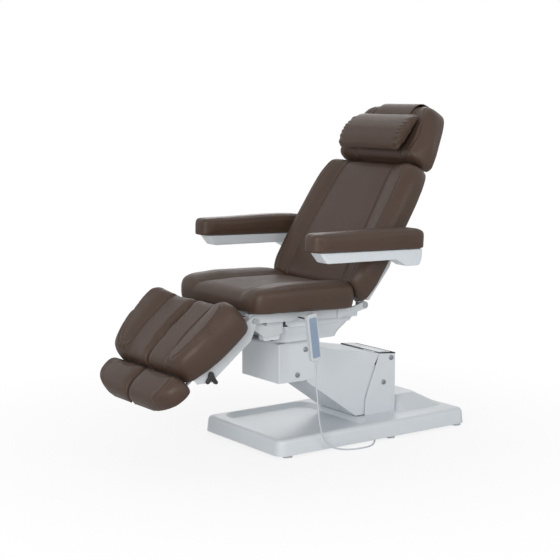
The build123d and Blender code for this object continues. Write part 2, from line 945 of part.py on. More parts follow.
drive_plate_x = 206.0
drive_plate_thickness = rail_x - rail_half - drive_plate_x
drive_plate_front = 17.0
drive_plate_nose = 90.0
drive_plate_belly = 170.0
drive_plate_bottom = 497.0
drive_plate_notch = 512.0
drive_slot_inset = 22.0
drive_cover_width = 40.0
drive_cover_front = leg_hinge_y + drive_plate_nose - drive_cover_width / 4
drive_cover_rear = leg_hinge_y + drive_plate_belly - drive_slot_inset / 2
drive_cover_top = 545.0
drive_cover_bottom = 487.0
drive_cover_round = 10.0

seat_frame_front = (seat_rear_y - leg_hinge_y) / cos(radians(seat_tilt)) + rail_front_over
seat_tilt_gap = 1.4
plate_gap = 1.0

with BuildPart() as seat_frame:
    for side in (-1, 1):
        with BuildSketch(shifted(seat_side, side * rail_x)):
            with Locations(
                ((rail_rear_gap - seat_frame_front) / 2, (rail_top + rail_bottom) / 2)
            ):
                Rectangle(seat_frame_front + rail_rear_gap, rail_top - rail_bottom)
        extrude(amount=rail_half, both=True)
    fillet(seat_frame.edges().filter_by(Axis.X), radius=rail_half / 2)
    with BuildSketch(seat_side):
        with Locations(
            *[
                (-share * seat_length, (seat_cross_top + seat_cross_bottom) / 2)
                for share in seat_cross_shares
            ]
        ):
            Rectangle(2 * seat_cross_half, seat_cross_top - seat_cross_bottom)
    extrude(amount=rail_x, both=True)
    for side in (-1, 1):
        plate_middle = rail_x + rail_half + plate_gap + back_plate / 2
        with BuildSketch(shifted(level_side, side * plate_middle)):
            with BuildLine():
                Polyline(
                    (back_pivot_y, back_pivot_z + back_lug_radius),
                    (seat_rear_y + rail_half, seat_rear_z + rail_top),
                    (seat_rear_y - rail_rear_gap, seat_rear_z + rail_top),
                    (seat_rear_y - rail_rear_gap, seat_rear_z + rail_bottom),
                    (back_pivot_y, back_pivot_z - back_lug_radius),
                    close=True,
                )
            make_face()
            with Locations((back_pivot_y, back_pivot_z)):
                Circle(back_lug_radius)
        extrude(amount=back_plate / 2, both=True)
        with BuildSketch(shifted(seat_side, side * (rail_x + rail_half))):
            with Locations((0, (rail_top + rail_bottom) / 2)):
                Rectangle(rail_half, rail_top - rail_bottom - rail_half)
        extrude(amount=side * back_plate / 2)
        tilt_lug_middle = tilt_lug_x + seat_tilt_gap + tilt_lug_thickness / 2
        with BuildSketch(shifted(level_side, side * tilt_lug_middle)):
            with Locations((tilt_y, tilt_z)):
                Circle(seat_tilt_lug_radius)
            with BuildLine():
                Polyline(
                    (tilt_y - seat_tilt_lug_radius, tilt_z),
                    (tilt_y - seat_tilt_lug_radius, seat_rear_z + seat_cross_bottom),
                    (tilt_y + seat_tilt_lug_radius, seat_rear_z + seat_cross_bottom),
                    (tilt_y + seat_tilt_lug_radius, tilt_z),
                    close=True,
                )
            make_face()
        extrude(amount=tilt_lug_thickness / 2, both=True)
    with BuildSketch(seat_side):
        with Locations(
            (
                (tilt_y - seat_rear_y) / cos(radians(seat_tilt)),
                (seat_cross_top + seat_cross_bottom) / 2,
            )
        ):
            Rectangle(2 * seat_tilt_lug_radius, seat_cross_top - seat_cross_bottom)
    extrude(amount=rail_x, both=True)
    extrude(
        axle_circle(level_side, (back_pivot_y, back_pivot_z), back_pin_radius + pin_clearance),
        amount=base_width,
        both=True,
        mode=Mode.SUBTRACT,
    )
    for side in (-1, 1):
        with BuildSketch(shifted(level_side, side * drive_plate_x)):
            with BuildLine():
                Polyline(
                    (leg_hinge_y - drive_plate_front, leg_hinge_z),
                    (leg_hinge_y - drive_plate_front, leg_hinge_z - drive_plate_front),
                    (leg_hinge_y + drive_plate_nose, drive_plate_bottom),
                    (leg_hinge_y + drive_plate_belly, drive_plate_notch),
                    (leg_hinge_y + drive_plate_belly, leg_hinge_z),
                    close=True,
                )
            make_face()
            with BuildLine():
                Polyline(
                    (leg_hinge_y + drive_plate_front + drive_slot_inset, leg_hinge_z - drive_slot_inset),
                    (leg_hinge_y + drive_plate_nose, drive_cover_top + drive_slot_inset / 4),
                    (leg_hinge_y + drive_plate_nose, leg_hinge_z - drive_slot_inset),
                    close=True,
                )
            make_face(mode=Mode.SUBTRACT)
        extrude(amount=side * drive_plate_thickness)
    extrude(
        axle_circle(level_side, (leg_hinge_y, leg_hinge_z), leg_shaft_radius + pin_clearance),
        amount=base_width,
        both=True,
        mode=Mode.SUBTRACT,
    )
    extrude(
        axle_circle(level_side, (tilt_y, tilt_z), tilt_pin_radius + pin_clearance),
        amount=base_width,
        both=True,
        mode=Mode.SUBTRACT,
    )
finish(seat_frame, "seat_frame")

tilt_pin = axles([(tilt_y, tilt_z)], tilt_lug_x + seat_tilt_gap + tilt_lug_thickness, tilt_pin_radius)
finish(tilt_pin, "tilt_pin")
leg_hinge_shaft = axles([(leg_hinge_y, leg_hinge_z)], leg_shaft_half, leg_shaft_radius)
finish(leg_hinge_shaft, "leg_hinge_shaft")

pin_head = 3.0

with BuildPart() as back_hinge_pins:
    for side in (-1, 1):
        with BuildSketch(shifted(level_side, side * (rail_x - rail_half))):
            with Locations((back_pivot_y, back_pivot_z)):
                Circle(back_pin_radius)
        extrude(amount=side * (2 * rail_half + plate_gap + back_plate))
        with BuildSketch(shifted(level_side, side * (rail_x + rail_half + plate_gap + back_plate))):
            with Locations((back_pivot_y, back_pivot_z)):
                Circle(back_lug_radius - pin_head)
        extrude(amount=side * pin_head)
finish(back_hinge_pins, "back_hinge_pins")


# Cushions: cross-sections of arcs between seams, lofted along each pad


def padded_section(plane, edges, tops, crowns, bulge, tuck):
    """One cross-section: arcs from seam to seam, bulging sides and a flat back."""
    with BuildSketch(plane) as section:
        with BuildLine():
            for index, crown in enumerate(crowns):
                middle = ((edges[index] + edges[index + 1]) / 2, crown)
                ThreePointArc((edges[index], tops[index]), middle, (edges[index + 1], tops[index + 1]))
            ThreePointArc((edges[-1], tops[-1]), (edges[-1] + bulge, tops[-1] / 2), (edges[-1] - tuck, 0))
            Line((edges[-1] - tuck, 0), (edges[0] + tuck, 0))
            ThreePointArc((edges[0] + tuck, 0), (edges[0] - bulge, tops[0] / 2), (edges[0], tops[0]))
        make_face()
    return section.sketch


side_bulge = 5.0
side_tuck = 10.0
seam_depth = 7.0
centre_crown = 4.0


def winged_cushion(side_view, length, half, height, wing_rise, seam_share, stations):
    """A cushion with a flat centre between two raised wings.

    Each station gives its place along the pad, then the shares of the half width,
    of the height, of the wing's outer edge height and of the wing's rise."""
    with BuildPart() as cushion:
        sections = []
        for place, width_share, height_share, edge_share, rise_share in stations:
            width = half * width_share
            top = height * height_share
            seam = half * seam_share * min(1, width_share + (1 - width_share) / 2)
            seam_top = top - seam_depth * rise_share
            edge_top = top * edge_share
            wing_top = (seam_top + edge_top) / 2 + wing_rise * rise_share + top * (1 - edge_share) / 2
            sections.append(
                padded_section(
                    section_plane(side_view, place * length),
                    (-width, -seam, seam, width),
                    (edge_top, seam_top, seam_top, edge_top),
                    (wing_top, top + centre_crown * rise_share, wing_top),
                    side_bulge,
                    side_tuck,
                )
            )
        loft(sections)
    return cushion


seat_height = 103.0
wing_rise = 9.0
seat_seam_share = 0.60
seat_station_shares = (
    (-1.0, 0.90, 0.60, 0.80, 0.1),
    (-0.97, 0.96, 0.88, 0.80, 0.4),
    (-0.90, 0.99, 1.03, 0.82, 0.8),
    (-0.75, 1.0, 1.04, 0.84, 1.0),
    (-0.5, 1.0, 1.02, 0.84, 1.0),
    (-0.25, 1.0, 1.0, 0.84, 1.0),
    (-0.10, 0.995, 0.98, 0.84, 1.0),
    (-0.03, 0.97, 0.88, 0.80, 0.7),
    (0.0, 0.92, 0.64, 0.78, 0.2),
)

seat_cushion = winged_cushion(
    seat_side, seat_length, seat_half, seat_height, wing_rise, seat_seam_share, seat_station_shares
)
finish(seat_cushion, "seat_cushion")

back_height = 113.0
back_seam_share = 0.64
back_station_shares = (
    (0.0, 0.84, 0.50, 0.40, 0.1),
    (0.022, 0.93, 0.69, 0.42, 0.3),
    (0.085, 0.98, 0.97, 0.58, 0.8),
    (0.21, 1.0, 1.0, 0.78, 1.0),
    (0.38, 0.99, 1.0, 0.82, 1.0),
    (0.57, 0.975, 1.0, 0.82, 1.0),
    (0.76, 0.96, 1.0, 0.82, 1.0),
    (0.92, 0.94, 1.0, 0.82, 1.0),
    (0.98, 0.90, 0.93, 0.76, 0.6),
    (1.0, 0.82, 0.66, 0.70, 0.2),
)

back_cushion = winged_cushion(
    back_side, back_length, back_half, back_height, wing_rise, back_seam_share, back_station_shares
)
finish(back_cushion, "back_cushion")

head_height = 134.0
head_seam_share = 0.62
head_station_shares = (
    (0.0, 0.84, 0.80, 0.62, 0.1),
    (0.05, 0.95, 0.94, 0.64, 0.4),
    (0.15, 1.0, 0.98, 0.68, 0.6),
    (0.32, 1.0, 0.92, 0.70, 0.6),
    (0.52, 1.0, 0.83, 0.72, 0.6),
    (0.70, 0.98, 0.74, 0.74, 0.6),
    (0.85, 0.91, 0.65, 0.74, 0.6),
    (0.95, 0.78, 0.55, 0.74, 0.4),
    (1.0, 0.60, 0.40, 0.70, 0.2),
)

headrest_cushion = winged_cushion(
    head_side, head_length, head_half, head_height, wing_rise, head_seam_share, head_station_shares
)
finish(headrest_cushion, "headrest_cushion")


# Head pillow on a wide strap over the head rest

pillow_angle = 54.0
pillow_rise = 144.5
pillow_foot = -2.0
pillow_length = 190.0
pillow_depth = 62.0
pillow_half = 195.0
pillow_station_shares = ((-1.0, 0.72), (-0.94, 0.94), (0.0, 1.0), (0.94, 0.94), (1.0, 0.72))
pillow_origin = head_side.from_local_coords(Vector(pillow_foot, pillow_rise, 0))
pillow_side = side_plane(pillow_origin.Y, pillow_origin.Z, pillow_angle)
pillow_corner_share = 0.62
pillow_low_crown_share = 0.36
pillow_low_bulge_share = 0.04

with BuildPart() as head_pillow:
    sections = []
    for place, size_share in pillow_station_shares:
        reach = pillow_length * size_share
        start = pillow_length * (1 - size_share) / 2
        depth = pillow_depth * size_share
        corner = depth * pillow_corner_share
        with BuildSketch(shifted(pillow_side, place * pillow_half)) as section:
            with BuildLine():
                Line((start, 0), (start + reach, 0))
                ThreePointArc(
                    (start + reach, 0),
                    (start + reach * (1 + pillow_low_bulge_share), corner / 2),
                    (start + reach * (1 - pillow_low_bulge_share), corner),
                )
                ThreePointArc(
                    (start + reach * (1 - pillow_low_bulge_share), corner),
                    (start + reach * pillow_low_crown_share, depth),
                    (start - reach * pillow_low_bulge_share, corner),
                )
                ThreePointArc(
                    (start - reach * pillow_low_bulge_share, corner),
                    (start - reach * pillow_low_bulge_share, corner / 2),
                    (start, 0),
                )
            make_face()
        sections.append(section.sketch)
    loft(sections)
finish(head_pillow, "head_pillow")

strap_half = 118.0
strap_thickness = 3.0
strap_gap = 5.0
strap_start_share = 0.74
strap_start_rise_share = 0.80
strap_bend_share = 0.93
strap_bend_rise_share = 0.66
strap_back_share = 0.62
strap_bend = 14.0

with BuildPart() as pillow_strap:
    with BuildSketch(head_side):
        with BuildLine() as strap_line:
            FilletPolyline(
                (head_length * strap_start_share, head_height * strap_start_rise_share + strap_gap),
                (head_length * strap_bend_share, head_height * strap_bend_rise_share + strap_gap),
                (head_length + strap_gap + strap_thickness, head_height / 2),
                (head_length + strap_gap + strap_thickness, -strap_gap),
                (head_length * strap_back_share, -strap_gap),
                radius=strap_bend,
            )
        trace(strap_line.line, line_width=strap_thickness)
    extrude(amount=strap_half, both=True)
finish(pillow_strap, "pillow_strap")


# Back: steel frame hinged behind the seat, with a tray behind the cushion

back_rail_x = 220.0
back_rail_half = 14.0
back_rail_front = -1.0
back_rail_rear = -25.0
back_rail_top = 600.0
back_cross_shares = (0.11, 0.923)
back_cross_places = [share * back_length for share in back_cross_shares]
back_cross_half = 14.0
post_x = 70.0
post_radius = 8.0
post_depth = -41.0
socket_half = 14.0
socket_low_share = 0.741
socket_places = (socket_low_share * back_length, back_cross_places[1])
socket_length = 36.0
arm_shaft_radius = 11.0
arm_shaft_half = 392.0

back_pivot_local = back_side.to_local_coords(Vector(0, back_pivot_y, back_pivot_z))
arm_pivot_local = back_side.to_local_coords(Vector(0, arm_pivot_y, arm_pivot_z))

with BuildPart() as back_frame:
    for side in (-1, 1):
        with BuildSketch(shifted(back_side, side * back_rail_x)):
            with Locations(
                ((back_rail_top + back_pivot_local.X) / 2, (back_rail_front + back_rail_rear) / 2)
            ):
                Rectangle(back_rail_top - back_pivot_local.X, back_rail_front - back_rail_rear)
            with Locations((back_pivot_local.X, back_pivot_local.Y)):
                Circle(back_lug_radius)
            with Locations((arm_pivot_local.X, arm_pivot_local.Y)):
                Circle(arm_shaft_radius + back_rail_half / 2)
        extrude(amount=back_rail_half, both=True)
    with BuildSketch(back_side):
        for place in back_cross_places:
            with Locations((place, (back_rail_front + back_rail_rear) / 2)):
                Rectangle(2 * back_cross_half, back_rail_front - back_rail_rear)
    extrude(amount=back_rail_x, both=True)
    with BuildSketch(back_side):
        with Locations((socket_places[0], (back_rail_front + back_rail_rear) / 2)):
            Rectangle(2 * back_cross_half, back_rail_front - back_rail_rear)
    extrude(amount=back_rail_x, both=True)
    for side in (-1, 1):
        for place in socket_places:
            with BuildSketch(section_plane(back_side, place - socket_length / 2)):
                with Locations((side * post_x, (back_rail_rear + post_depth - socket_half) / 2)):
                    Rectangle(2 * socket_half, post_depth - socket_half - back_rail_rear)
            extrude(amount=-socket_length)
            with BuildSketch(section_plane(back_side, place - socket_length)):
                with Locations((side * post_x, post_depth)):
                    Circle(post_radius + pin_clearance)
            extrude(amount=-2 * socket_length, mode=Mode.SUBTRACT)
    extrude(
        axle_circle(level_side, (back_pivot_y, back_pivot_z), back_pin_radius + pin_clearance),
        amount=base_width,
        both=True,
        mode=Mode.SUBTRACT,
    )
    extrude(
        axle_circle(level_side, (arm_pivot_y, arm_pivot_z), arm_shaft_radius + pin_clearance),
        amount=base_width,
        both=True,
        mode=Mode.SUBTRACT,
    )
finish(back_frame, "back_frame")

armrest_shaft = axles([(arm_pivot_y, arm_pivot_z)], arm_shaft_half, arm_shaft_radius)
finish(armrest_shaft, "armrest_shaft")

tray_half = 258.0
tray_foot = 26.0
tray_top = 336.0
tray_deep_place = 200.0
tray_foot_depth = -30.0
tray_depth = -50.0
tray_top_depth = -29.0
tray_front = -1.0
tray_wall = 3.0

with BuildPart() as back_tray:
    with BuildSketch(back_side):
        with BuildLine():
            Polyline(
                (tray_foot, tray_front),
                (tray_top, tray_front),
                (tray_top, tray_top_depth),
                (tray_deep_place, tray_depth),
                (tray_foot, tray_foot_depth),
                close=True,
            )
        make_face()
    extrude(amount=tray_half, both=True)
    with BuildSketch(back_side):
        with BuildLine():
            Polyline(
                (tray_foot - cut_overrun, tray_front + cut_overrun),
                (tray_top + cut_overrun, tray_front + cut_overrun),
                (tray_top + cut_overrun, tray_top_depth + tray_wall),
                (tray_deep_place, tray_depth + tray_wall),
                (tray_foot - cut_overrun, tray_foot_depth + tray_wall),
                close=True,
            )
        make_face()
    extrude(amount=tray_half - tray_wall, both=True, mode=Mode.SUBTRACT)
    extrude(
        axle_circle(level_side, (arm_pivot_y, arm_pivot_z), arm_shaft_radius + running_gap),
        amount=base_width,
        both=True,
        mode=Mode.SUBTRACT,
    )
finish(back_tray, "back_tray")


# Head rest slide: two posts in the back frame, with a hinge bar for the head rest

head_pivot_rise = 40.0
head_pivot_depth = 19.0
head_pivot_local = Vector(head_pivot_rise, -head_pivot_depth, 0)
head_pivot = head_side.from_local_coords(head_pivot_local)
head_bar_radius = 10.0
head_bar_half = 96.0
post_foot = 452.0
head_pivot_in_back = back_side.to_local_coords(head_pivot)

with BuildPart() as headrest_posts:
    for side in (-1, 1):
        with BuildSketch(section_plane(back_side, post_foot)):
            with Locations((side * post_x, post_depth)):
                Circle(post_radius)
        extrude(amount=post_foot - head_pivot_in_back.X)
    with BuildSketch(level_side):
        with Locations((head_pivot.Y, head_pivot.Z)):
            Circle(head_bar_radius)
    extrude(amount=head_bar_half, both=True)
finish(headrest_posts, "headrest_posts")

head_plate_half = 110.0
head_plate_length = 150.0
head_plate_thickness = 5.0
head_lug_x = 40.0
head_lug_thickness = 14.0
head_lug_radius = 16.0

with BuildPart() as headrest_bracket:
    with BuildSketch(head_side):
        with Locations(
            (head_pivot_local.X + head_plate_length / 2 - head_lug_radius, -running_gap - head_plate_thickness / 2)
        ):
            Rectangle(head_plate_length, head_plate_thickness)
    extrude(amount=head_plate_half, both=True)
    for side in (-1, 1):
        with BuildSketch(shifted(head_side, side * head_lug_x)):
            with Locations((head_pivot_local.X, head_pivot_local.Y)):
                Circle(head_lug_radius)
            with Locations((head_pivot_local.X, (head_pivot_local.Y - running_gap) / 2)):
                Rectangle(2 * head_lug_radius, -head_pivot_local.Y - running_gap)
        extrude(amount=head_lug_thickness / 2, both=True)
    extrude(
        axle_circle(level_side, (head_pivot.Y, head_pivot.Z), head_bar_radius + pin_clearance),
        amount=base_width,
        both=True,
        mode=Mode.SUBTRACT,
    )
finish(headrest_bracket, "headrest_bracket")


# Armrests: level hubs on the shaft, with a moulded pod and a pad on each

arm_tilt = 1.7
arm_side = side_plane(arm_pivot_y, arm_pivot_z, -arm_tilt)
hub_start = 306.0
hub_end = 364.0
hub_radius = 25.0
pod_half = 36.0
pod_top = 33.0
pod_front = -548.0
pod_tip = -506.0
pod_tip_depth = -11.0
pod_waist = -108.0
pod_waist_depth = -8.0
pod_lobe = -46.0
pod_depth = -37.0
pod_rear = 44.0
pod_bend = 15.0
pod_bore_end = arm_shaft_half + running_gap
arm_pad_front = -580.0
arm_pad_rear = 32.0
arm_pad_crown = 5.0
arm_pad_shares = (
    (0.0, 0.84, 0.78),
    (0.025, 0.96, 0.95),
    (0.09, 1.0, 1.0),
    (0.25, 1.0, 1.0),
    (0.42, 1.0, 1.0),
    (0.58, 1.0, 1.0),
    (0.75, 1.0, 1.0),
    (0.91, 1.0, 1.0),
    (0.975, 0.96, 0.95),
    (1.0, 0.84, 0.78),
)

arm_pad_foot = arm_side.from_local_coords(Vector(0, pod_top + running_gap, 0))
pad_side = side_plane(arm_pad_foot.Y, arm_pad_foot.Z, -arm_tilt)

for label, side in (("left", 1), ("right", -1)):
    with BuildPart() as arm_hub:
        with BuildSketch(shifted(arm_side, side * hub_start)):
            Circle(hub_radius)
            Circle(arm_shaft_radius + pin_clearance, mode=Mode.SUBTRACT)
        extrude(amount=side * (hub_end - hub_start))
        chamfer(
            arm_hub.edges().filter_by(GeomType.CIRCLE).sort_by(SortBy.RADIUS)[-2:], length=sheet
        )
    finish(arm_hub, f"arm_hub_{label}")

    with BuildPart() as armrest_pod:
        with BuildSketch(shifted(arm_side, side * arm_centre_x)):
            with BuildLine():
                FilletPolyline(
                    (pod_front, pod_top),
                    (pod_tip, pod_tip_depth),
                    (pod_waist, pod_waist_depth),
                    (pod_lobe, pod_depth),
                    (pod_rear - pod_bend, pod_depth),
                    (pod_rear, pod_waist_depth),
                    (pod_rear, pod_top),
                    radius=pod_bend,
                )
                Line((pod_rear, pod_top), (pod_front, pod_top))
            make_face()
        extrude(amount=pod_half, both=True)
        with BuildSketch(shifted(arm_side, side * (arm_centre_x - pod_half))):
            Circle(arm_shaft_radius + pin_clearance)
        extrude(amount=side * (pod_bore_end - arm_centre_x + pod_half), mode=Mode.SUBTRACT)
    finish(armrest_pod, f"armrest_pod_{label}")

    with BuildPart() as armrest_pad:
        sections = []
        for place, width_share, height_share in arm_pad_shares:
            half = arm_pad_width / 2 * width_share
            centre = side * arm_centre_x
            top = arm_pad_height * height_share
            sections.append(
                padded_section(
                    section_plane(pad_side, arm_pad_front + place * (arm_pad_rear - arm_pad_front)),
                    (centre - half, centre + half),
                    (top - arm_pad_crown, top - arm_pad_crown),
                    (top,),
                    sheet,
                    side_tuck / 2,
                )
            )
        loft(sections)
    finish(armrest_pad, f"armrest_pad_{label}")


# Leg rests: folded steel frames on the hinge shaft, each with a cushion and a sliding foot pad

leg_frame_inner = 14.0
leg_frame_outer = 254.0
leg_sheet = 4.0
leg_deck_top = 24.0
leg_deck_start = 40.0
leg_frame_length = 352.0
leg_web_depth = -52.0
leg_web_start = 60.0
leg_web_end = 300.0
leg_inner_depth = -12.0
leg_lug_radius = 18.0
leg_cushion_height = 126.0
leg_foot_height_share = 0.76
leg_seam_share = 0.54
leg_station_shares = (
    (0.0, 0.94, 0.60, 0.1),
    (0.045, 0.985, 0.90, 0.5),
    (0.14, 1.0, 1.0, 1.0),
    (0.32, 1.0, 1.0, 1.0),
    (0.5, 1.0, 1.0, 1.0),
    (0.68, 1.0, 1.0, 1.0),
    (0.86, 0.985, 0.99, 1.0),
    (0.96, 0.94, 0.92, 0.6),
    (1.0, 0.86, 0.70, 0.2),
)

slide_inner_x = 70.0
slide_outer_x = 190.0
slide_x = (slide_inner_x, slide_outer_x)
slide_radius = 7.0
slide_block_half = 12.0
slide_block_top = 190.0
slide_block_foot = 320.0
slide_block_places = (slide_block_top, slide_block_foot)
slide_block_length = 30.0
slide_start = 150.0
slide_bar_place = 402.0
slide_bar_half = 8.0
slide_depth = -12.5

foot_pad_start = 390.0
foot_pad_length = 146.0
foot_pad_base = -4.0
foot_pad_height_full = 86.0
foot_pad_outer = 224.0
foot_pad_toe_share = 0.17
foot_pad_station_shares = (
    (0.0, 0.90, 0.74),
    (0.06, 0.98, 0.92),
    (0.22, 1.0, 1.0),
    (0.6, 0.97, 0.98),
    (0.85, 0.86, 0.84),
    (0.96, 0.70, 0.66),
    (1.0, 0.55, 0.45),
)

foot_plate_thickness = 6.0
lever_place = 286.0
lever_hub_radius = 12.0
lever_length = 46.0
lever_half = 5.0
lever_gap = 1.0
lever_thickness = 10.0
lever_axis_depth = -22.0
lever_pin_radius = 5.0
leg_pad_foot = leg_side.from_local_coords(Vector(0, leg_deck_top + running_gap, 0))
leg_pad_side = side_plane(leg_pad_foot.Y, leg_pad_foot.Z, leg_angle)
foot_pad_foot = leg_side.from_local_coords(Vector(0, foot_pad_base, 0))
foot_pad_side = side_plane(foot_pad_foot.Y, foot_pad_foot.Z, leg_angle)

with BuildPart() as leg_frame:
    with BuildSketch(leg_side):
        with Locations((-(leg_deck_start + leg_frame_length) / 2, leg_deck_top - leg_sheet / 2)):
            Rectangle(leg_frame_length - leg_deck_start, leg_sheet)
    extrude(amount=leg_frame_outer)
    split(bisect_by=Plane.YZ.offset(leg_frame_inner), keep=Keep.TOP)
    for start, depth in ((leg_frame_inner, leg_inner_depth), (leg_frame_outer - leg_sheet, leg_web_depth)):
        with BuildSketch(shifted(leg_side, start)):
            Circle(leg_lug_radius)
            with BuildLine():
                Polyline(
                    (0, leg_lug_radius),
                    (-leg_deck_start, leg_deck_top),
                    (-leg_frame_length, leg_deck_top),
                    (-leg_frame_length, leg_inner_depth),
                    (-leg_web_end, depth),
                    (-leg_web_start, depth),
                    (0, -leg_lug_radius),
                    close=True,
                )
            make_face()
            Circle(leg_shaft_radius + pin_clearance, mode=Mode.SUBTRACT)
        extrude(amount=leg_sheet)
    for x in slide_x:
        for place in slide_block_places:
            with BuildSketch(section_plane(leg_side, -place + slide_block_length / 2)):
                with Locations((x, (leg_deck_top - leg_sheet + slide_depth - slide_block_half) / 2)):
                    Rectangle(2 * slide_block_half, leg_deck_top - leg_sheet - slide_depth + slide_block_half)
                with Locations((x, slide_depth)):
                    Circle(slide_radius + pin_clearance, mode=Mode.SUBTRACT)
            extrude(amount=slide_block_length)
    extrude(
        axle_circle(shifted(leg_side, leg_frame_outer), (-lever_place, lever_axis_depth), lever_pin_radius),
        amount=leg_sheet * 2,
        both=True,
        mode=Mode.SUBTRACT,
    )

with BuildPart() as leg_cushion:
    sections = []
    for place, width_share, height_share, rise_share in leg_station_shares:
        outer = (leg_outer_top + (leg_outer_foot - leg_outer_top) * place) * width_share
        inner = leg_split + side_bulge + (1 - width_share) * leg_split
        top = leg_cushion_height * (1 + (leg_foot_height_share - 1) * place) * height_share
        seam = inner + (outer - inner) * leg_seam_share
        sections.append(
            padded_section(
                section_plane(leg_pad_side, -leg_cushion_start - place * leg_cushion_length),
                (inner, seam, outer),
                (top - seam_depth, top - seam_depth * rise_share, top * seat_station_shares[3][3]),
                (top, top + wing_rise * rise_share),
                side_bulge,
                side_tuck,
            )
        )
    loft(sections)

with BuildPart() as foot_pad:
    sections = []
    for place, width_share, height_share in foot_pad_station_shares:
        outer = foot_pad_outer * width_share
        inner = leg_split + side_bulge + (1 - width_share) * foot_pad_outer * foot_pad_toe_share
        top = foot_pad_height_full * height_share
        sections.append(
            padded_section(
                section_plane(foot_pad_side, -foot_pad_start - place * foot_pad_length),
                (inner, outer),
                (top * seat_station_shares[3][3], top * seat_station_shares[3][3]),
                (top,),
                side_bulge,
                side_tuck,
            )
        )
    loft(sections)

with BuildPart() as foot_slide:
    for x in slide_x:
        with BuildSketch(section_plane(leg_side, -slide_start)):
            with Locations((x, slide_depth)):
                Circle(slide_radius)
        extrude(amount=slide_bar_place - slide_start)
    with BuildSketch(leg_side):
        with Locations((-slide_bar_place, slide_depth)):
            Rectangle(2 * slide_bar_half, 2 * slide_bar_half)
    extrude(amount=slide_outer_x + slide_block_half)
    split(bisect_by=Plane.YZ.offset(slide_inner_x - slide_block_half), keep=Keep.TOP)
    with BuildSketch(leg_side):
        with Locations(
            (
                -slide_bar_place - foot_pad_length / 3,
                foot_pad_base - running_gap - foot_plate_thickness / 2,
            )
        ):
            Rectangle(foot_pad_length * 2 / 3, foot_plate_thickness)
    extrude(amount=slide_outer_x - slide_block_half)

with BuildPart() as release_lever:
    with BuildSketch(shifted(leg_side, leg_frame_outer + lever_gap)):
        with Locations((-lever_place, lever_axis_depth)):
            Circle(lever_hub_radius)
        with Locations((-lever_place, lever_axis_depth - lever_length / 2)):
            SlotOverall(lever_length, 2 * lever_half, rotation=upright_angle)
    extrude(amount=lever_thickness)
    with BuildSketch(shifted(leg_side, leg_frame_outer - leg_sheet)):
        with Locations((-lever_place, lever_axis_depth)):
            Circle(lever_pin_radius - pin_clearance)
    extrude(amount=leg_sheet + lever_gap)

for piece, name in (
    (leg_frame, "leg_frame"),
    (leg_cushion, "leg_cushion"),
    (foot_slide, "foot_slide"),
    (foot_pad, "foot_pad"),
    (release_lever, "release_lever"),
):
    finish(piece, f"{name}_left")
    finish(mirrored(piece), f"{name}_right")


# Leg drive covers, against the side plates under the front of the seat

with BuildPart() as leg_drive_cover:
    with BuildSketch(shifted(level_side, drive_plate_x - running_gap)):
        with Locations(
            (
                (drive_cover_front + drive_cover_rear) / 2,
                (drive_cover_top + drive_cover_bottom) / 2,
            )
        ):
            Rectangle(drive_cover_rear - drive_cover_front, drive_cover_top - drive_cover_bottom)
    extrude(amount=-drive_cover_width)
    fillet(leg_drive_cover.edges().filter_by(Axis.X), radius=drive_cover_round)
    fillet(leg_drive_cover.edges().group_by(Axis.X)[0], radius=drive_cover_round / 2)
finish(leg_drive_cover, "leg_drive_cover_left")
finish(mirrored(leg_drive_cover), "leg_drive_cover_right")


# Handset on a wire hook at the side of the seat

handset_inner = 318.0
handset_thickness = 20.0
handset_width = 50.0
handset_length = 199.0
handset_lean_angle = 7.5
handset_end_setback = 153.0
handset_end_y = base_front + handset_end_setback
handset_end_z = 405.0
handset_corner = 12.0
handset_edge = 4.0
keypad_width = 36.0
keypad_length = 168.0
keypad_thickness = 1.2
hook_radius = 3.0
hook_bend = 14.0
hook_turn_setback = 128.0
hook_turn_y = base_front + hook_turn_setback
hook_level = 577.0
hook_end_setback = 138.0
hook_end_y = base_front + hook_end_setback
hook_end_z = 500.0

handset_side = side_plane(handset_end_y, handset_end_z, upright_angle + handset_lean_angle)
hook_x = handset_inner - hook_radius - running_gap

with BuildPart() as handset_housing:
    with BuildSketch(shifted(handset_side, handset_inner)):
        with Locations((handset_length / 2, 0)):
            RectangleRounded(handset_length, handset_width, handset_corner)
    extrude(amount=handset_thickness)
    fillet(handset_housing.edges().group_by(Axis.X)[-1], radius=handset_edge)
finish(handset_housing, "handset_housing")

with BuildPart() as handset_keypad:
    with BuildSketch(shifted(handset_side, handset_inner + handset_thickness)):
        with Locations((handset_length / 2, 0)):
            RectangleRounded(keypad_length, keypad_width, handset_corner / 2)
    extrude(amount=keypad_thickness)
finish(handset_keypad, "handset_keypad")

with BuildPart() as handset_hook:
    with BuildLine() as hook_line:
        FilletPolyline(
            (rail_x + rail_half + running_gap, hook_turn_y, hook_level),
            (hook_x, hook_turn_y, hook_level),
            (hook_x, hook_end_y, hook_end_z),
            radius=hook_bend,
        )
    hook_path = hook_line.line
    with BuildSketch(Plane(origin=hook_path @ 0, z_dir=hook_path % 0)):
        Circle(hook_radius)
    sweep(path=hook_path)
finish(handset_hook, "handset_hook")


# Handset cord: down beside the base, over the floor and under the cover to its gland

cord_radius = 3.5
cord_floor = 3.8
cord_gap = 0.3
gland_x = 246.0
gland_z = 30.0
gland_length = 14.0
gland_radius = 8.0
gland_sides = 6
gland_rear = foot_rows[1] - outrigger_width / 2 - running_gap

with BuildPart() as cord_gland:
    with BuildSketch(Plane(origin=(gland_x, gland_rear, gland_z), z_dir=(0, -1, 0))):
        RegularPolygon(gland_radius, gland_sides)
    extrude(amount=gland_length / 2)
    with BuildSketch(Plane(origin=(gland_x, gland_rear - gland_length / 2, gland_z), z_dir=(0, -1, 0))):
        Circle(gland_radius - sheet)
    extrude(amount=gland_length / 2)
finish(cord_gland, "cord_gland")

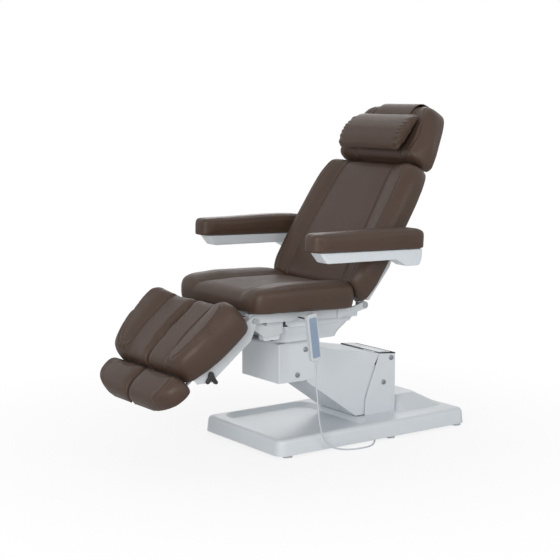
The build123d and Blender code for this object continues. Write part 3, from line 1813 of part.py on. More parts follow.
cord_route = (
    (328.0, 146.2, 403.2),
    (328.0, 152.4, 356.1),
    (328.0, 158.0, 290.0),
    (326.0, 168.0, 205.0),
    (321.0, 180.0, 135.0),
    (316.0, 198.0, 82.0),
    (312.5, 223.0, 42.0),
    (315.0, 266.0, 16.0),
    (325.0, 324.0, cord_floor),
    (341.0, 386.0, cord_floor),
    (333.0, 452.0, cord_floor),
    (290.0, 502.0, cord_floor),
    (258.0, 529.0, 14.0),
    (gland_x, 553.0, gland_z),
)
cord_end = (gland_x, gland_rear - gland_length - cord_gap, gland_z)
cord_points = [(x, base_front + setback, z) for x, setback, z in cord_route] + [cord_end]
bend_run_share = 0.45


def bend_radii(points):
    """A radius for each corner that uses nearly half of its shorter run."""
    radii = []
    for before, corner, after in zip(points, points[1:], points[2:]):
        first = Vector(*corner) - Vector(*before)
        second = Vector(*after) - Vector(*corner)
        half_turn = radians(first.get_angle(second)) / 2
        radii.append(bend_run_share * min(first.length, second.length) / tan(half_turn))
    return radii


with BuildPart() as handset_cord:
    with BuildLine() as cord_line:
        FilletPolyline(*cord_points, radius=bend_radii(cord_points))
    cord_path = cord_line.line
    with BuildSketch(Plane(origin=cord_path @ 0, z_dir=cord_path % 0)):
        Circle(cord_radius)
    sweep(path=cord_path)
finish(handset_cord, "handset_cord")
print("cord radii", [round(radius) for radius in bend_radii(cord_points)])
print("cord length", round(sum(edge.length for edge in cord_path.edges())))
print("cord volume", round(handset_cord.part.volume))
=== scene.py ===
import json
import math

import bmesh
import bpy
import numpy as np
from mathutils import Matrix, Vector
from mathutils.bvhtree import BVHTree


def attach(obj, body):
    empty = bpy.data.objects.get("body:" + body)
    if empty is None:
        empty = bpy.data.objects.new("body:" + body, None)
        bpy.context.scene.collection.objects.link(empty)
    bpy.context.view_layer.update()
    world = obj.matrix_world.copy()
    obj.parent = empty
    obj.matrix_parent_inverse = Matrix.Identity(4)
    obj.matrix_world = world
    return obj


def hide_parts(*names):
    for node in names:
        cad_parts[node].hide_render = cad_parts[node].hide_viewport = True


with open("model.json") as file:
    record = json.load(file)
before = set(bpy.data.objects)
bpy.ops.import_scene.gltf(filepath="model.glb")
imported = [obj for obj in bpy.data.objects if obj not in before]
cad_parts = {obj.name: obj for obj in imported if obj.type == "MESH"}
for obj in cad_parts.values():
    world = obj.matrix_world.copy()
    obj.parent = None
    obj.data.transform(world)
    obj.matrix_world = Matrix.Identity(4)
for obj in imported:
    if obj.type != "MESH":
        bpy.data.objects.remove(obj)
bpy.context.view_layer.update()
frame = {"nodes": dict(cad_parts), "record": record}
scene = bpy.context.scene
nodes = frame["nodes"]
baseFront = -0.245


# camera, light and floor


def wire(tree, *rows):
    # each row is (from node, its output, to node, its input)
    for source, output, target, entry in rows:
        tree.links.new(source.outputs[output], target.inputs[entry])


def setInputs(node, values):
    for label, value in values.items():
        node.inputs[label].default_value = value


viewSetup = {
    "target": (0.0, -0.0363, 0.6972),
    "azimuth": 54.4,
    "elevation": 7.96,
    "distance": 5.8,
    "lens": 87.14,
    "sensor": 36.0,
}


def addCamera(setup):
    turn = math.radians(setup["azimuth"])
    rise = math.radians(setup["elevation"])
    back = Vector((math.sin(turn) * math.cos(rise), -math.cos(turn) * math.cos(rise), math.sin(rise)))
    data = bpy.data.cameras.new("photoCamera")
    data.lens = setup["lens"]
    data.sensor_width = setup["sensor"]
    camera = bpy.data.objects.new("photoCamera", data)
    camera.location = Vector(setup["target"]) + back * setup["distance"]
    camera.rotation_euler = back.to_track_quat("Z", "Y").to_euler()
    scene.collection.objects.link(camera)
    scene.camera = camera


lampAim = (0, 0, 0.7)
worldLight = 0.42
lampSetup = {
    "key": {"place": (3.0, -3.8, 1.8), "size": 1.8, "power": 92.0},
    "fill": {"place": (4.4, 0.8, 2.2), "size": 1.8, "power": 31.0},
    "top": {"place": (-0.6, 0.4, 4.2), "size": 3.0, "power": 9.0},
    "rim": {"place": (-3.4, 2.6, 2.4), "size": 2.0, "power": 22.0},
}


def addLamps(setup, aim):
    for name, lamp in setup.items():
        data = bpy.data.lights.new(name, "AREA")
        data.shape = "SQUARE"
        data.size = lamp["size"]
        data.energy = lamp["power"]
        light = bpy.data.objects.new(name, data)
        light.location = lamp["place"]
        light.rotation_euler = (Vector(lamp["place"]) - Vector(aim)).to_track_quat("Z", "Y").to_euler()
        scene.collection.objects.link(light)


def whiteForCamera(tree, shader, output):
    # what the camera, mirrors and glass see is plain white; the light on the chair is unchanged
    path = tree.nodes.new("ShaderNodeLightPath")
    seen = tree.nodes.new("ShaderNodeMath")
    seen.operation = "MAXIMUM"
    clear = tree.nodes.new("ShaderNodeMath")
    clear.operation = "MAXIMUM"
    white = tree.nodes.new("ShaderNodeBackground")
    setInputs(white, {"Color": (1, 1, 1, 1), "Strength": 1.0})
    mix = tree.nodes.new("ShaderNodeMixShader")
    wire(
        tree,
        (path, "Is Camera Ray", seen, 0),
        (path, "Is Glossy Ray", seen, 1),
        (seen, 0, clear, 0),
        (path, "Is Transmission Ray", clear, 1),
        (clear, 0, mix, "Fac"),
        (shader, 0, mix, 1),
        (white, 0, mix, 2),
        (mix, 0, output, "Surface"),
    )


def addWorld(strength):
    world = bpy.data.worlds.new("studio")
    world.use_nodes = True
    tree = world.node_tree
    background = tree.nodes["Background"]
    setInputs(background, {"Color": (1, 1, 1, 1), "Strength": strength})
    whiteForCamera(tree, background, tree.nodes["World Output"])
    scene.world = world


floorSetup = {
    "half": 14.0,
    "colour": (0.93, 0.93, 0.93, 1),
    "roughness": 0.75,
    "near": 0.4,
    "far": 2.0,
    "glow": 0.84,  # share of plain white at the chair's foot
}


def addFloor(setup):
    # lit floor that keeps the chair's shadow, fading to plain white away from the chair
    half = setup["half"]
    mesh = bpy.data.meshes.new("floor")
    corners = [(-half, -half, 0), (half, -half, 0), (half, half, 0), (-half, half, 0)]
    mesh.from_pydata(corners, [], [(0, 1, 2, 3)])
    floor = bpy.data.objects.new("floor", mesh)
    scene.collection.objects.link(floor)
    material = bpy.data.materials.new("paleFloor")
    material.use_nodes = True
    tree = material.node_tree
    shader = tree.nodes["Principled BSDF"]
    setInputs(shader, {"Base Color": setup["colour"], "Roughness": setup["roughness"]})
    where = tree.nodes.new("ShaderNodeTexCoord")
    reach = tree.nodes.new("ShaderNodeVectorMath")
    reach.operation = "LENGTH"
    fade = tree.nodes.new("ShaderNodeMapRange")
    fade.interpolation_type = "SMOOTHSTEP"
    reaches = {"From Min": setup["near"], "From Max": setup["far"], "To Min": setup["glow"], "To Max": 1.0}
    setInputs(fade, reaches)
    path = tree.nodes.new("ShaderNodeLightPath")
    seen = tree.nodes.new("ShaderNodeMath")
    seen.operation = "MULTIPLY"
    white = tree.nodes.new("ShaderNodeEmission")
    white.inputs["Color"].default_value = (1, 1, 1, 1)
    mix = tree.nodes.new("ShaderNodeMixShader")
    wire(
        tree,
        (where, "Object", reach, 0),
        (reach, "Value", fade, "Value"),
        (fade, "Result", seen, 0),
        (path, "Is Camera Ray", seen, 1),
        (seen, 0, mix, "Fac"),
        (shader, "BSDF", mix, 1),
        (white, "Emission", mix, 2),
        (mix, "Shader", tree.nodes["Material Output"], "Surface"),
    )
    mesh.materials.append(material)


addCamera(viewSetup)
addLamps(lampSetup, lampAim)
addWorld(worldLight)
addFloor(floorSetup)
scene.view_settings.view_transform = "Standard"
print("camera, lamps and floor are set")


# shader groups that several materials use


def newGroup(name, inputs, outputs):
    group = bpy.data.node_groups.new(name, "ShaderNodeTree")
    for label, kind, value in inputs:
        socket = group.interface.new_socket(name=label, in_out="INPUT", socket_type=kind)
        if value is not None:
            socket.default_value = value
    for label, kind in outputs:
        group.interface.new_socket(name=label, in_out="OUTPUT", socket_type=kind)
    start = group.nodes.new("NodeGroupInput")
    end = group.nodes.new("NodeGroupOutput")
    return group, start, end


def makeGrainGroup():
    # fine pebbled grain of artificial leather, with soft creases at a larger scale
    group, start, end = newGroup(
        "hideGrain",
        [
            ("Vector", "NodeSocketVector", None),
            ("Pebble Scale", "NodeSocketFloat", 900.0),
            ("Crease Scale", "NodeSocketFloat", 35.0),
            ("Crease Share", "NodeSocketFloat", 0.3),
        ],
        [("Height", "NodeSocketFloat"), ("Tone", "NodeSocketFloat"), ("Gloss", "NodeSocketFloat")],
    )
    make = group.nodes.new
    cells = make("ShaderNodeTexVoronoi")
    cells.feature = "DISTANCE_TO_EDGE"
    creases = make("ShaderNodeTexNoise")
    setInputs(creases, {"Detail": 5.0, "Roughness": 0.6})
    clouds = make("ShaderNodeTexNoise")
    setInputs(clouds, {"Scale": 5.0, "Detail": 3.0})
    scaled = make("ShaderNodeMath")
    scaled.operation = "MULTIPLY"
    total = make("ShaderNodeMath")
    total.operation = "ADD"
    gloss = make("ShaderNodeMapRange")
    setInputs(gloss, {"To Min": 0.36, "To Max": 0.50})
    wire(
        group,
        (start, "Vector", cells, "Vector"),
        (start, "Pebble Scale", cells, "Scale"),
        (start, "Vector", creases, "Vector"),
        (start, "Crease Scale", creases, "Scale"),
        (start, "Vector", clouds, "Vector"),
        (creases, "Fac", scaled, 0),
        (start, "Crease Share", scaled, 1),
        (cells, "Distance", total, 0),
        (scaled, 0, total, 1),
        (creases, "Fac", gloss, "Value"),
        (total, 0, end, "Height"),
        (clouds, "Fac", end, "Tone"),
        (gloss, "Result", end, "Gloss"),
    )
    return group


def makeCoatGroup():
    # slow waviness and faint dust of painted steel and moulded plastic
    group, start, end = newGroup(
        "paintedSkin",
        [
            ("Vector", "NodeSocketVector", None),
            ("Peel Scale", "NodeSocketFloat", 260.0),
            ("Dust Scale", "NodeSocketFloat", 9.0),
            ("Smooth", "NodeSocketFloat", 0.3),
            ("Rough", "NodeSocketFloat", 0.42),
        ],
        [("Height", "NodeSocketFloat"), ("Tone", "NodeSocketFloat"), ("Gloss", "NodeSocketFloat")],
    )
    make = group.nodes.new
    peel = make("ShaderNodeTexNoise")
    peel.inputs["Detail"].default_value = 2.0
    dust = make("ShaderNodeTexNoise")
    dust.inputs["Detail"].default_value = 4.0
    gloss = make("ShaderNodeMapRange")
    wire(
        group,
        (start, "Vector", peel, "Vector"),
        (start, "Peel Scale", peel, "Scale"),
        (start, "Vector", dust, "Vector"),
        (start, "Dust Scale", dust, "Scale"),
        (dust, "Fac", gloss, "Value"),
        (start, "Smooth", gloss, "To Min"),
        (start, "Rough", gloss, "To Max"),
        (peel, "Fac", end, "Height"),
        (dust, "Fac", end, "Tone"),
        (gloss, "Result", end, "Gloss"),
    )
    return group


grainGroup = makeGrainGroup()
coatGroup = makeCoatGroup()


def srgb(red, green, blue):
    def channel(value):
        share = value / 255
        return share / 12.92 if share <= 0.04045 else ((share + 0.055) / 1.055) ** 2.4

    return (channel(red), channel(green), channel(blue), 1)


def makeMaterial(name, finish):
    # finish: group, two tones, settings of the group, bump depth, and plain shader values
    material = bpy.data.materials.new(name)
    material.use_nodes = True
    tree = material.node_tree
    shader = tree.nodes["Principled BSDF"]
    where = tree.nodes.new("ShaderNodeTexCoord")
    placed = tree.nodes.new("ShaderNodeMapping")
    placed.inputs["Scale"].default_value = finish.get("stretch", (1, 1, 1))
    skin = tree.nodes.new("ShaderNodeGroup")
    skin.node_tree = finish["group"]
    setInputs(skin, finish["settings"])
    tones = tree.nodes.new("ShaderNodeMix")
    tones.data_type = "RGBA"
    setInputs(tones, {"A": finish["dark"], "B": finish["light"]})
    bump = tree.nodes.new("ShaderNodeBump")
    setInputs(bump, {"Strength": finish["strength"], "Distance": finish["depth"]})
    wire(
        tree,
        (where, "Object", placed, "Vector"),
        (placed, "Vector", skin, "Vector"),
        (skin, "Tone", tones, "Factor"),
        (tones, "Result", shader, "Base Color"),
        (skin, "Gloss", shader, "Roughness"),
        (skin, "Height", bump, "Height"),
        (bump, "Normal", shader, "Normal"),
    )
    setInputs(shader, finish.get("shader", {}))
    return material


finishes = {
    "brownHide": {
        "group": grainGroup,
        "dark": srgb(68, 52, 43),
        "light": srgb(82, 64, 54),
        "settings": {"Pebble Scale": 850.0, "Crease Scale": 30.0, "Crease Share": 0.35},
        "depth": 0.0006,
        "strength": 0.35,
        "shader": {"Specular IOR Level": 0.30},
    },
    "whiteShell": {
        "group": coatGroup,
        "dark": srgb(212, 218, 223),
        "light": srgb(220, 225, 229),
        "settings": {"Peel Scale": 180.0, "Smooth": 0.30, "Rough": 0.40},
        "depth": 0.0002,
        "strength": 0.15,
        "shader": {"Coat Weight": 0.15, "Coat Roughness": 0.25},
    },
    "whitePaint": {
        "group": coatGroup,
        "dark": srgb(196, 201, 204),
        "light": srgb(207, 211, 214),
        "settings": {"Peel Scale": 420.0, "Smooth": 0.38, "Rough": 0.50},
        "depth": 0.0003,
        "strength": 0.25,
    },
    "brightSteel": {
        "group": coatGroup,
        "dark": srgb(168, 170, 173),
        "light": srgb(196, 198, 200),
        "settings": {"Peel Scale": 60.0, "Smooth": 0.20, "Rough": 0.34},
        "stretch": (0.08, 6.0, 6.0),
        "depth": 0.0001,
        "strength": 0.2,
        "shader": {"Metallic": 1.0},
    },
    # darker copy of the bright steel for the pivot caps: the lower tone is partly the steel's own and
    # partly painted shade standing in for the shading of their domes
    "capSteelPaintedShade": {
        "group": coatGroup,
        "dark": srgb(126, 130, 134),
        "light": srgb(158, 162, 166),
        "settings": {"Peel Scale": 90.0, "Smooth": 0.24, "Rough": 0.36},
        "depth": 0.0001,
        "strength": 0.2,
        "shader": {"Metallic": 0.9},
    },
    "brownThread": {
        "group": coatGroup,
        "dark": srgb(58, 44, 37),
        "light": srgb(74, 58, 49),
        "settings": {"Peel Scale": 1400.0, "Smooth": 0.50, "Rough": 0.65},
        "depth": 0.0002,
        "strength": 0.4,
    },
    "blackRubber": {
        "group": coatGroup,
        "dark": srgb(24, 24, 25),
        "light": srgb(36, 36, 37),
        "settings": {"Peel Scale": 700.0, "Smooth": 0.55, "Rough": 0.72},
        "depth": 0.0002,
        "strength": 0.3,
    },
    "greyPlastic": {
        "group": coatGroup,
        "dark": srgb(196, 201, 206),
        "light": srgb(208, 212, 216),
        "settings": {"Peel Scale": 900.0, "Smooth": 0.40, "Rough": 0.52},
        "depth": 0.0002,
        "strength": 0.25,
    },
    "blackPlastic": {
        "group": coatGroup,
        "dark": srgb(28, 28, 30),
        "light": srgb(40, 40, 42),
        "settings": {"Peel Scale": 800.0, "Smooth": 0.42, "Rough": 0.58},
        "depth": 0.0002,
        "strength": 0.3,
    },
    "keypadFilm": {
        "group": coatGroup,
        "dark": srgb(132, 148, 170),
        "light": srgb(146, 162, 182),
        "settings": {"Peel Scale": 900.0, "Smooth": 0.34, "Rough": 0.46},
        "depth": 0.0001,
        "strength": 0.2,
    },
}
materials = {name: makeMaterial(name, finish) for name, finish in finishes.items()}
slotFinish = {
    "shell_white": "whiteShell",
    "frame_white": "whitePaint",
    "bright_steel": "brightSteel",
    "brown_leather": "brownHide",
    "black_rubber": "blackRubber",
    "grey_plastic": "greyPlastic",
    "black_plastic": "blackPlastic",
    "keypad_blue": "keypadFilm",
}
slotOf = {entry["node"]: entry["material_slot"] for entry in frame["record"]["subparts"]}
bodies = frame["record"]["behaviour"]["bodies"]
bodyOf = {node: body for body, members in bodies.items() for node in members}


def dress(piece, finish):
    piece.data.materials.clear()
    piece.data.materials.append(materials[finish])


for name, node in nodes.items():
    dress(node, slotFinish[slotOf[name]])
# the pivot caps get the darker steel, whose tone is partly painted shade for their domed faces
for name in ("front_pivot_caps", "rear_pivot_caps"):
    dress(nodes[name], "capSteelPaintedShade")
dress(nodes["levelling_feet"], "greyPlastic")
print("materials are made and the frame is dressed")


# small helpers for pieces


def link(name, mesh):
    piece = bpy.data.objects.new(name, mesh)
    scene.collection.objects.link(piece)
    return piece


def evaluated(piece, name):
    graph = bpy.context.evaluated_depsgraph_get()
    mesh = bpy.data.meshes.new_from_object(piece.evaluated_get(graph), depsgraph=graph)
    mesh.name = name
    return mesh


def bakeModifiers(piece):
    mesh = evaluated(piece, piece.data.name)
    piece.modifiers.clear()
    piece.data = mesh


def points(mesh):
    flat = np.empty(len(mesh.vertices) * 3, np.float32)
    mesh.vertices.foreach_get("co", flat)
    return flat.reshape(-1, 3).astype(float)


def normals(mesh):
    flat = np.empty(len(mesh.vertices) * 3, np.float32)
    mesh.vertex_normals.foreach_get("vector", flat)
    return flat.reshape(-1, 3).astype(float)


def setPoints(mesh, place):
    mesh.vertices.foreach_set("co", place.astype(np.float32).ravel())
    mesh.update()


def faceOutward(mesh):
    work = bmesh.new()
    work.from_mesh(mesh)
    bmesh.ops.recalc_face_normals(work, faces=work.faces)
    work.to_mesh(mesh)
    work.free()


def builtMesh(name, spots, faces):
    mesh = bpy.data.meshes.new(name)
    mesh.from_pydata(spots, [], faces)
    faceOutward(mesh)
    return mesh


def tubeFaces(rings, count):
    # four-sided faces between closed rings of points, and one face over each end
    faces = []
    for ring in range(rings - 1):
        low, high = ring * count, (ring + 1) * count
        for step in range(count):
            after = (step + 1) % count
            faces.append((low + step, low + after, high + after, high + step))
    faces.append(tuple(range(count - 1, -1, -1)))
    faces.append(tuple(range((rings - 1) * count, rings * count)))
    return faces


def remeshPiece(piece, size):
    even = piece.modifiers.new("even", "REMESH")
    even.mode = "VOXEL"
    even.voxel_size = size
    bakeModifiers(piece)


def settlePiece(piece, passes):
    settle = piece.modifiers.new("settle", "SMOOTH")
    settle.factor = 0.5
    settle.iterations = passes
    bakeModifiers(piece)


def finerPiece(piece):
    finer = piece.modifiers.new("finer", "SUBSURF")
    finer.levels = finer.render_levels = 1
    bakeModifiers(piece)


def bevelPiece(piece, width, segments):
    bevel = piece.modifiers.new("bevel", "BEVEL")
    bevel.width = width
    bevel.segments = segments
    bevel.limit_method = "ANGLE"
    bakeModifiers(piece)


def finishPiece(piece, body, finish, replaced=()):
    dress(piece, finish)
    piece.data.polygons.foreach_set("use_smooth", [True] * len(piece.data.polygons))
    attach(piece, body)
    if replaced:
        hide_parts(*replaced)


# padded pieces

# each pad's plane: a point of it in (y, z) and its slope
padPlanes = {
    "seat": {"foot": (baseFront + 0.383, 0.594), "slope": -2.0},
    "back": {"foot": (baseFront + 0.450, 0.611), "slope": 56.9},
    "head": {"foot": (baseFront + 0.836, 1.152), "slope": 62.0},
    "leg": {"foot": (baseFront - 0.100, 0.585), "slope": 38.0},
    "arm": {"foot": (baseFront + 0.606, 0.814), "slope": -1.7},
}


class PadPlane:
    def __init__(self, name):
        slope = math.radians(padPlanes[name]["slope"])
        self.along = np.array((0, math.cos(slope), math.sin(slope)))
        self.out = np.array((0, -math.sin(slope), math.cos(slope)))
        self.foot = np.array((0, *padPlanes[name]["foot"]))

    def local(self, place):
        offset = place - self.foot
        return np.stack((offset @ self.along, place[:, 0], offset @ self.out), axis=1)

    def world(self, spot):
        side = np.zeros((len(spot), 3))
        side[:, 0] = spot[:, 1]
        return self.foot + spot[:, :1] * self.along + spot[:, 2:] * self.out + side


def eased(rows, at):
    # smooth curve without overshoot through rows of (place, value)
    place, value = np.array(rows, float).T
    rise = np.diff(value) / np.diff(place)
    slope = np.zeros(len(place))
    both = rise[:-1] * rise[1:]
    slope[1:-1] = np.where(both > 0, 2 * both / (rise[:-1] + rise[1:] + 1e-12), 0)
    slope[0], slope[-1] = rise[0], rise[-1]
    spot = np.clip(np.searchsorted(place, at) - 1, 0, len(rise) - 1)
    gap = place[spot + 1] - place[spot]
    part = np.clip((at - place[spot]) / gap, 0, 1)
    square, cube = part**2, part**3
    first = (2 * cube - 3 * square + 1) * value[spot] + (cube - 2 * square + part) * gap * slope[spot]
    second = (3 * square - 2 * cube) * value[spot + 1] + (cube - square) * gap * slope[spot + 1]
    return first + second


def roundedPath(corners, count, closed):
    # evenly spaced points on a smooth line through the corners
    corners = np.array(corners, float)
    if closed:
        corners = np.vstack((corners, corners[:1]))
    run = np.concatenate(([0], np.cumsum(np.linalg.norm(np.diff(corners, axis=0), axis=1))))
    places = np.linspace(0, run[-1], count, endpoint=not closed)
    return np.stack([eased(np.stack((run, corners[:, axis]), axis=1), places) for axis in (0, 1)], axis=1)


padRings, padAround = 61, 120


def padMesh(name, pad):
    # a cushion as rings of its cross section, from its low end to its high end
    plane = PadPlane(pad["plane"])
    low, high = pad["ends"]
    turn = np.linspace(0, math.pi, padRings)
    stations = (low + high) / 2 - (high - low) / 2 * np.cos(turn)
    profile = pad["profile"]
    if "inner" not in pad:
        profile = profile + [(-share, *rest) for share, *rest in reversed(profile[1:-1])]
    outline = np.array([(share, height, *rest, 0)[:3] for share, height, *rest in profile])
    outline = np.vstack((outline, outline[:1]))
    steps = np.linalg.norm(np.diff(outline[:, :2], axis=0), axis=1)
    run = np.concatenate(([0], np.cumsum(steps)))
    places = np.linspace(0, run[-1], padAround, endpoint=False)
    share, height, rise = (eased(np.stack((run, outline[:, row]), axis=1), places) for row in range(3))
    rings = []
    for station in stations:
        at = np.array([station])
        half = eased(pad["width"], at)[0]
        top = eased(pad["height"], at)[0]
        lift = eased(pad["lift"], at)[0] if "lift" in pad else 0
        base = pad["base"]
        if "inner" in pad:
            inner = eased(pad["innerPlace"], at)[0] if "innerPlace" in pad else pad["inner"]
            across = inner + share * (half - inner)
        else:
            fold = pad["fold"]
            wanted = eased(pad["foldPlace"], at)[0] / half
            size = np.abs(share)
            outer = wanted + (size - fold) * (1 - wanted) / (1 - fold)
            size = np.where(size < fold, size * wanted / fold, outer)
            across = np.sign(share) * size * half
        above = base + height * (top - base) + rise * lift
        out = np.where(height > 0, above, base + height * abs(base - top))
        rings.append(np.stack((np.full(padAround, station), across, out), axis=1))
    return builtMesh(name, plane.world(np.vstack(rings)).tolist(), tubeFaces(padRings, padAround))


def seamDistance(along, across, route):
    # distance in the pad's plane to a seam, which is a row of (along, across) points
    nearest = np.full(len(along), 1e9)
    for (startAlong, startAcross), (endAlong, endAcross) in zip(route, route[1:]):
        run = np.array((endAlong - startAlong, endAcross - startAcross))
        share = ((along - startAlong) * run[0] + (across - startAcross) * run[1]) / (run @ run)
        share = np.clip(share, 0, 1)
        gap = np.hypot(along - startAlong - share * run[0], across - startAcross - share * run[1])
        nearest = np.minimum(nearest, gap)
    return nearest


clothSetup = {
    "mass": 0.3,
    "tension": 12.0,
    "shear": 4.0,
    "bending": 0.6,
    "pressure": 4.0,
    "frames": 20,
}


def swell(piece, cap, pressure=clothSetup["pressure"]):
    # cloth blown up a little from inside, with its travel capped
    rest = points(piece.data)
    cloth = piece.modifiers.new("swell", "CLOTH")
    settings = cloth.settings
    settings.quality = 3
    settings.mass = clothSetup["mass"]
    settings.tension_stiffness = clothSetup["tension"]
    settings.compression_stiffness = clothSetup["tension"]
    settings.shear_stiffness = clothSetup["shear"]
    settings.bending_stiffness = clothSetup["bending"]
    settings.use_pressure = True
    settings.uniform_pressure_force = pressure
    settings.effector_weights.gravity = 0
    cloth.point_cache.frame_end = clothSetup["frames"]
    for number in range(1, clothSetup["frames"] + 1):
        scene.frame_set(number)
    moved = points(evaluated(piece, "swollen"))
    piece.modifiers.clear()
    scene.frame_set(1)
    travel = moved - rest
    length = np.linalg.norm(travel, axis=1)
    scale = np.where(length > cap, cap / np.maximum(length, 1e-9), 1.0)
    setPoints(piece.data, rest + travel * scale[:, None])


rollPlace, rollWidth = 2.6, 1.6  # the soft rolls beside a seam, as multiples of its width


def softPad(name, pad):
    plane = PadPlane(pad["plane"])
    piece = link(name, padMesh(name, pad))
    wanted = plane.local(points(piece.data))
    remeshPiece(piece, pad["voxel"])
    settlePiece(piece, 3)
    setPoints(piece.data, points(piece.data) - normals(piece.data) * pad["inset"])
    swell(piece, pad["cap"])
    finerPiece(piece)
    # drawn back to the planned size
    spots = plane.local(points(piece.data))
    low, high = spots.min(axis=0), spots.max(axis=0)
    wantedLow, wantedHigh = wanted.min(axis=0), wanted.max(axis=0)
    spots = wantedLow + (spots - low) / (high - low) * (wantedHigh - wantedLow)
    setPoints(piece.data, plane.world(spots))
    outward = normals(piece.data)
    upper = np.clip((outward @ plane.out + 0.1) / 0.5, 0, 1)
    push = np.zeros(len(spots))
    for seam in pad.get("seams", []):
        gap = seamDistance(spots[:, 0], spots[:, 1], seam["route"])
        push -= seam["depth"] * np.exp(-((gap / seam["width"]) ** 2)) * upper
        beside = (gap - seam["width"] * rollPlace) / (seam["width"] * rollWidth)
        push += seam["roll"] * np.exp(-(beside**2)) * upper
    setPoints(piece.data, points(piece.data) + outward * push[:, None])
    return piece


def mirrorRoute(route):
    return [(along, -across) for along, across in route]


def bothSides(route, **values):
    return [{"route": route, **values}, {"route": mirrorRoute(route), **values}]


# sizes in metres in the pad's plane: profile rows are (share of width, share of height, share of lift),
# and width, height and lift rows are (place along the pad, size)
seatPad = {
    "plane": "seat",
    "ends": (-0.504, 0.0),
    "base": 0.0008,
    "profile": [
        (0.00, 0.845),
        (0.22, 0.845),
        (0.40, 0.835),
        (0.45, 0.815),
        (0.50, 0.870),
        (0.60, 0.950),
        (0.74, 1.000),
        (0.86, 0.995),
        (0.935, 0.945),
        (0.98, 0.840),
        (1.00, 0.640),
        (0.995, 0.380),
        (0.97, 0.140),
        (0.945, 0.030),
        (0.91, 0.000),
        (0.00, 0.000),
    ],
    "width": [
        (-0.504, 0.262),
        (-0.497, 0.285),
        (-0.47, 0.306),
        (-0.42, 0.317),
        (-0.30, 0.321),
        (-0.12, 0.319),
        (-0.04, 0.310),
        (-0.012, 0.298),
        (0.0, 0.280),
    ],
    "height": [
        (-0.504, 0.058),
        (-0.498, 0.080),
        (-0.482, 0.098),
        (-0.45, 0.108),
        (-0.40, 0.114),
        (-0.30, 0.121),
        (-0.10, 0.121),
        (-0.035, 0.115),
        (-0.010, 0.100),
        (0.0, 0.080),
    ],
    "fold": 0.45,
    "foldPlace": [
        (-0.504, 0.170),
        (-0.45, 0.160),
        (-0.38, 0.141),
        (-0.28, 0.140),
        (-0.15, 0.150),
        (0.0, 0.163),
    ],
    "voxel": 0.006,
    "inset": 0.003,
    "cap": 0.003,
    "seams": bothSides(
        [(-0.47, 0.170), (-0.44, 0.157), (-0.38, 0.142), (-0.28, 0.141), (-0.15, 0.151), (-0.03, 0.161)],
        depth=0.0022,
        width=0.0045,
        roll=0.001,
        stitch=0.0075,
    ),
}
backPad = {
    "plane": "back",
    "ends": (0.0, 0.640),
    "base": 0.0004,
    "profile": [
        (0.00, 0.865),
        (0.30, 0.865),
        (0.52, 0.850),
        (0.575, 0.825),
        (0.62, 0.870),
        (0.74, 0.975),
        (0.84, 1.000),
        (0.872, 0.985),
        (0.950, 0.850),
        (0.982, 0.740),
        (0.997, 0.600),
        (1.00, 0.440),
        (0.985, 0.220),
        (0.96, 0.050),
        (0.93, 0.000),
        (0.00, 0.000),
    ],
    "width": [
        (0.0, 0.262),
        (0.008, 0.284),
        (0.035, 0.305),
        (0.10, 0.322),
        (0.30, 0.328),
        (0.45, 0.326),
        (0.54, 0.318),
        (0.595, 0.306),
        (0.624, 0.290),
        (0.640, 0.262),
    ],
    "height": [
        (0.0, 0.056),
        (0.006, 0.080),
        (0.025, 0.108),
        (0.06, 0.122),
        (0.12, 0.128),
        (0.50, 0.127),
        (0.59, 0.121),
        (0.620, 0.112),
        (0.632, 0.096),
        (0.640, 0.072),
    ],
    "fold": 0.575,
    "foldPlace": [(0.0, 0.195), (0.13, 0.197), (0.30, 0.187), (0.45, 0.176), (0.58, 0.164), (0.640, 0.158)],
    "voxel": 0.006,
    "inset": 0.003,
    "cap": 0.003,
    "seams": bothSides(
        [(0.02, 0.196), (0.13, 0.197), (0.30, 0.187), (0.45, 0.176), (0.58, 0.164), (0.622, 0.159)],
        depth=0.0032,
        width=0.0038,
        roll=0.0012,
        stitch=0.0070,
    )
    + bothSides(
        [(0.05, 0.268), (0.20, 0.284), (0.42, 0.283), (0.54, 0.272), (0.60, 0.248)],
        depth=0.0016,
        width=0.0042,
        roll=0.0016,
    ),
}
headPad = {
    "plane": "head",
    "ends": (-0.013, 0.281),
    "base": 0.0004,
    "profile": [
        (0.00, 1.000),
        (0.35, 0.995),
        (0.52, 0.980),
        (0.565, 0.955),
        (0.61, 0.965, 0.20),
        (0.76, 0.965, 0.60),
        (0.86, 0.925, 0.95),
        (0.93, 0.850, 1.00),
        (0.98, 0.720, 0.80),
        (1.00, 0.520, 0.30),
        (0.99, 0.260),
        (0.965, 0.060),
        (0.93, 0.000),
        (0.00, 0.000),
    ],
    "width": [
        (-0.013, 0.242),
        (-0.006, 0.260),
        (0.015, 0.274),
        (0.06, 0.272),
        (0.12, 0.261),
        (0.19, 0.246),
        (0.23, 0.232),
        (0.255, 0.212),
        (0.271, 0.180),
        (0.281, 0.140),
    ],
    "height": [
        (-0.013, 0.064),
        (-0.008, 0.090),
        (0.008, 0.117),
        (0.034, 0.128),
        (0.12, 0.127),
        (0.20, 0.122),
        (0.245, 0.112),
        (0.268, 0.094),
        (0.281, 0.064),
    ],
    "lift": [(-0.013, 0.014), (0.02, 0.022), (0.06, 0.016), (0.12, 0.006), (0.281, 0.0)],
    "fold": 0.565,
    "foldPlace": [(-0.013, 0.150), (0.15, 0.148), (0.25, 0.138), (0.281, 0.110)],
    "voxel": 0.0055,
    "inset": 0.003,
    "cap": 0.003,
    "seams": bothSides(
        [(0.012, 0.150), (0.10, 0.149), (0.20, 0.145), (0.27, 0.130)],
        depth=0.0026,
        width=0.004,
        roll=0.001,
        stitch=0.0070,
    )
    + bothSides(
        [(0.02, 0.226), (0.10, 0.228), (0.19, 0.214), (0.25, 0.186)],
        depth=0.0014,
        width=0.0042,
        roll=0.0014,
    ),
}
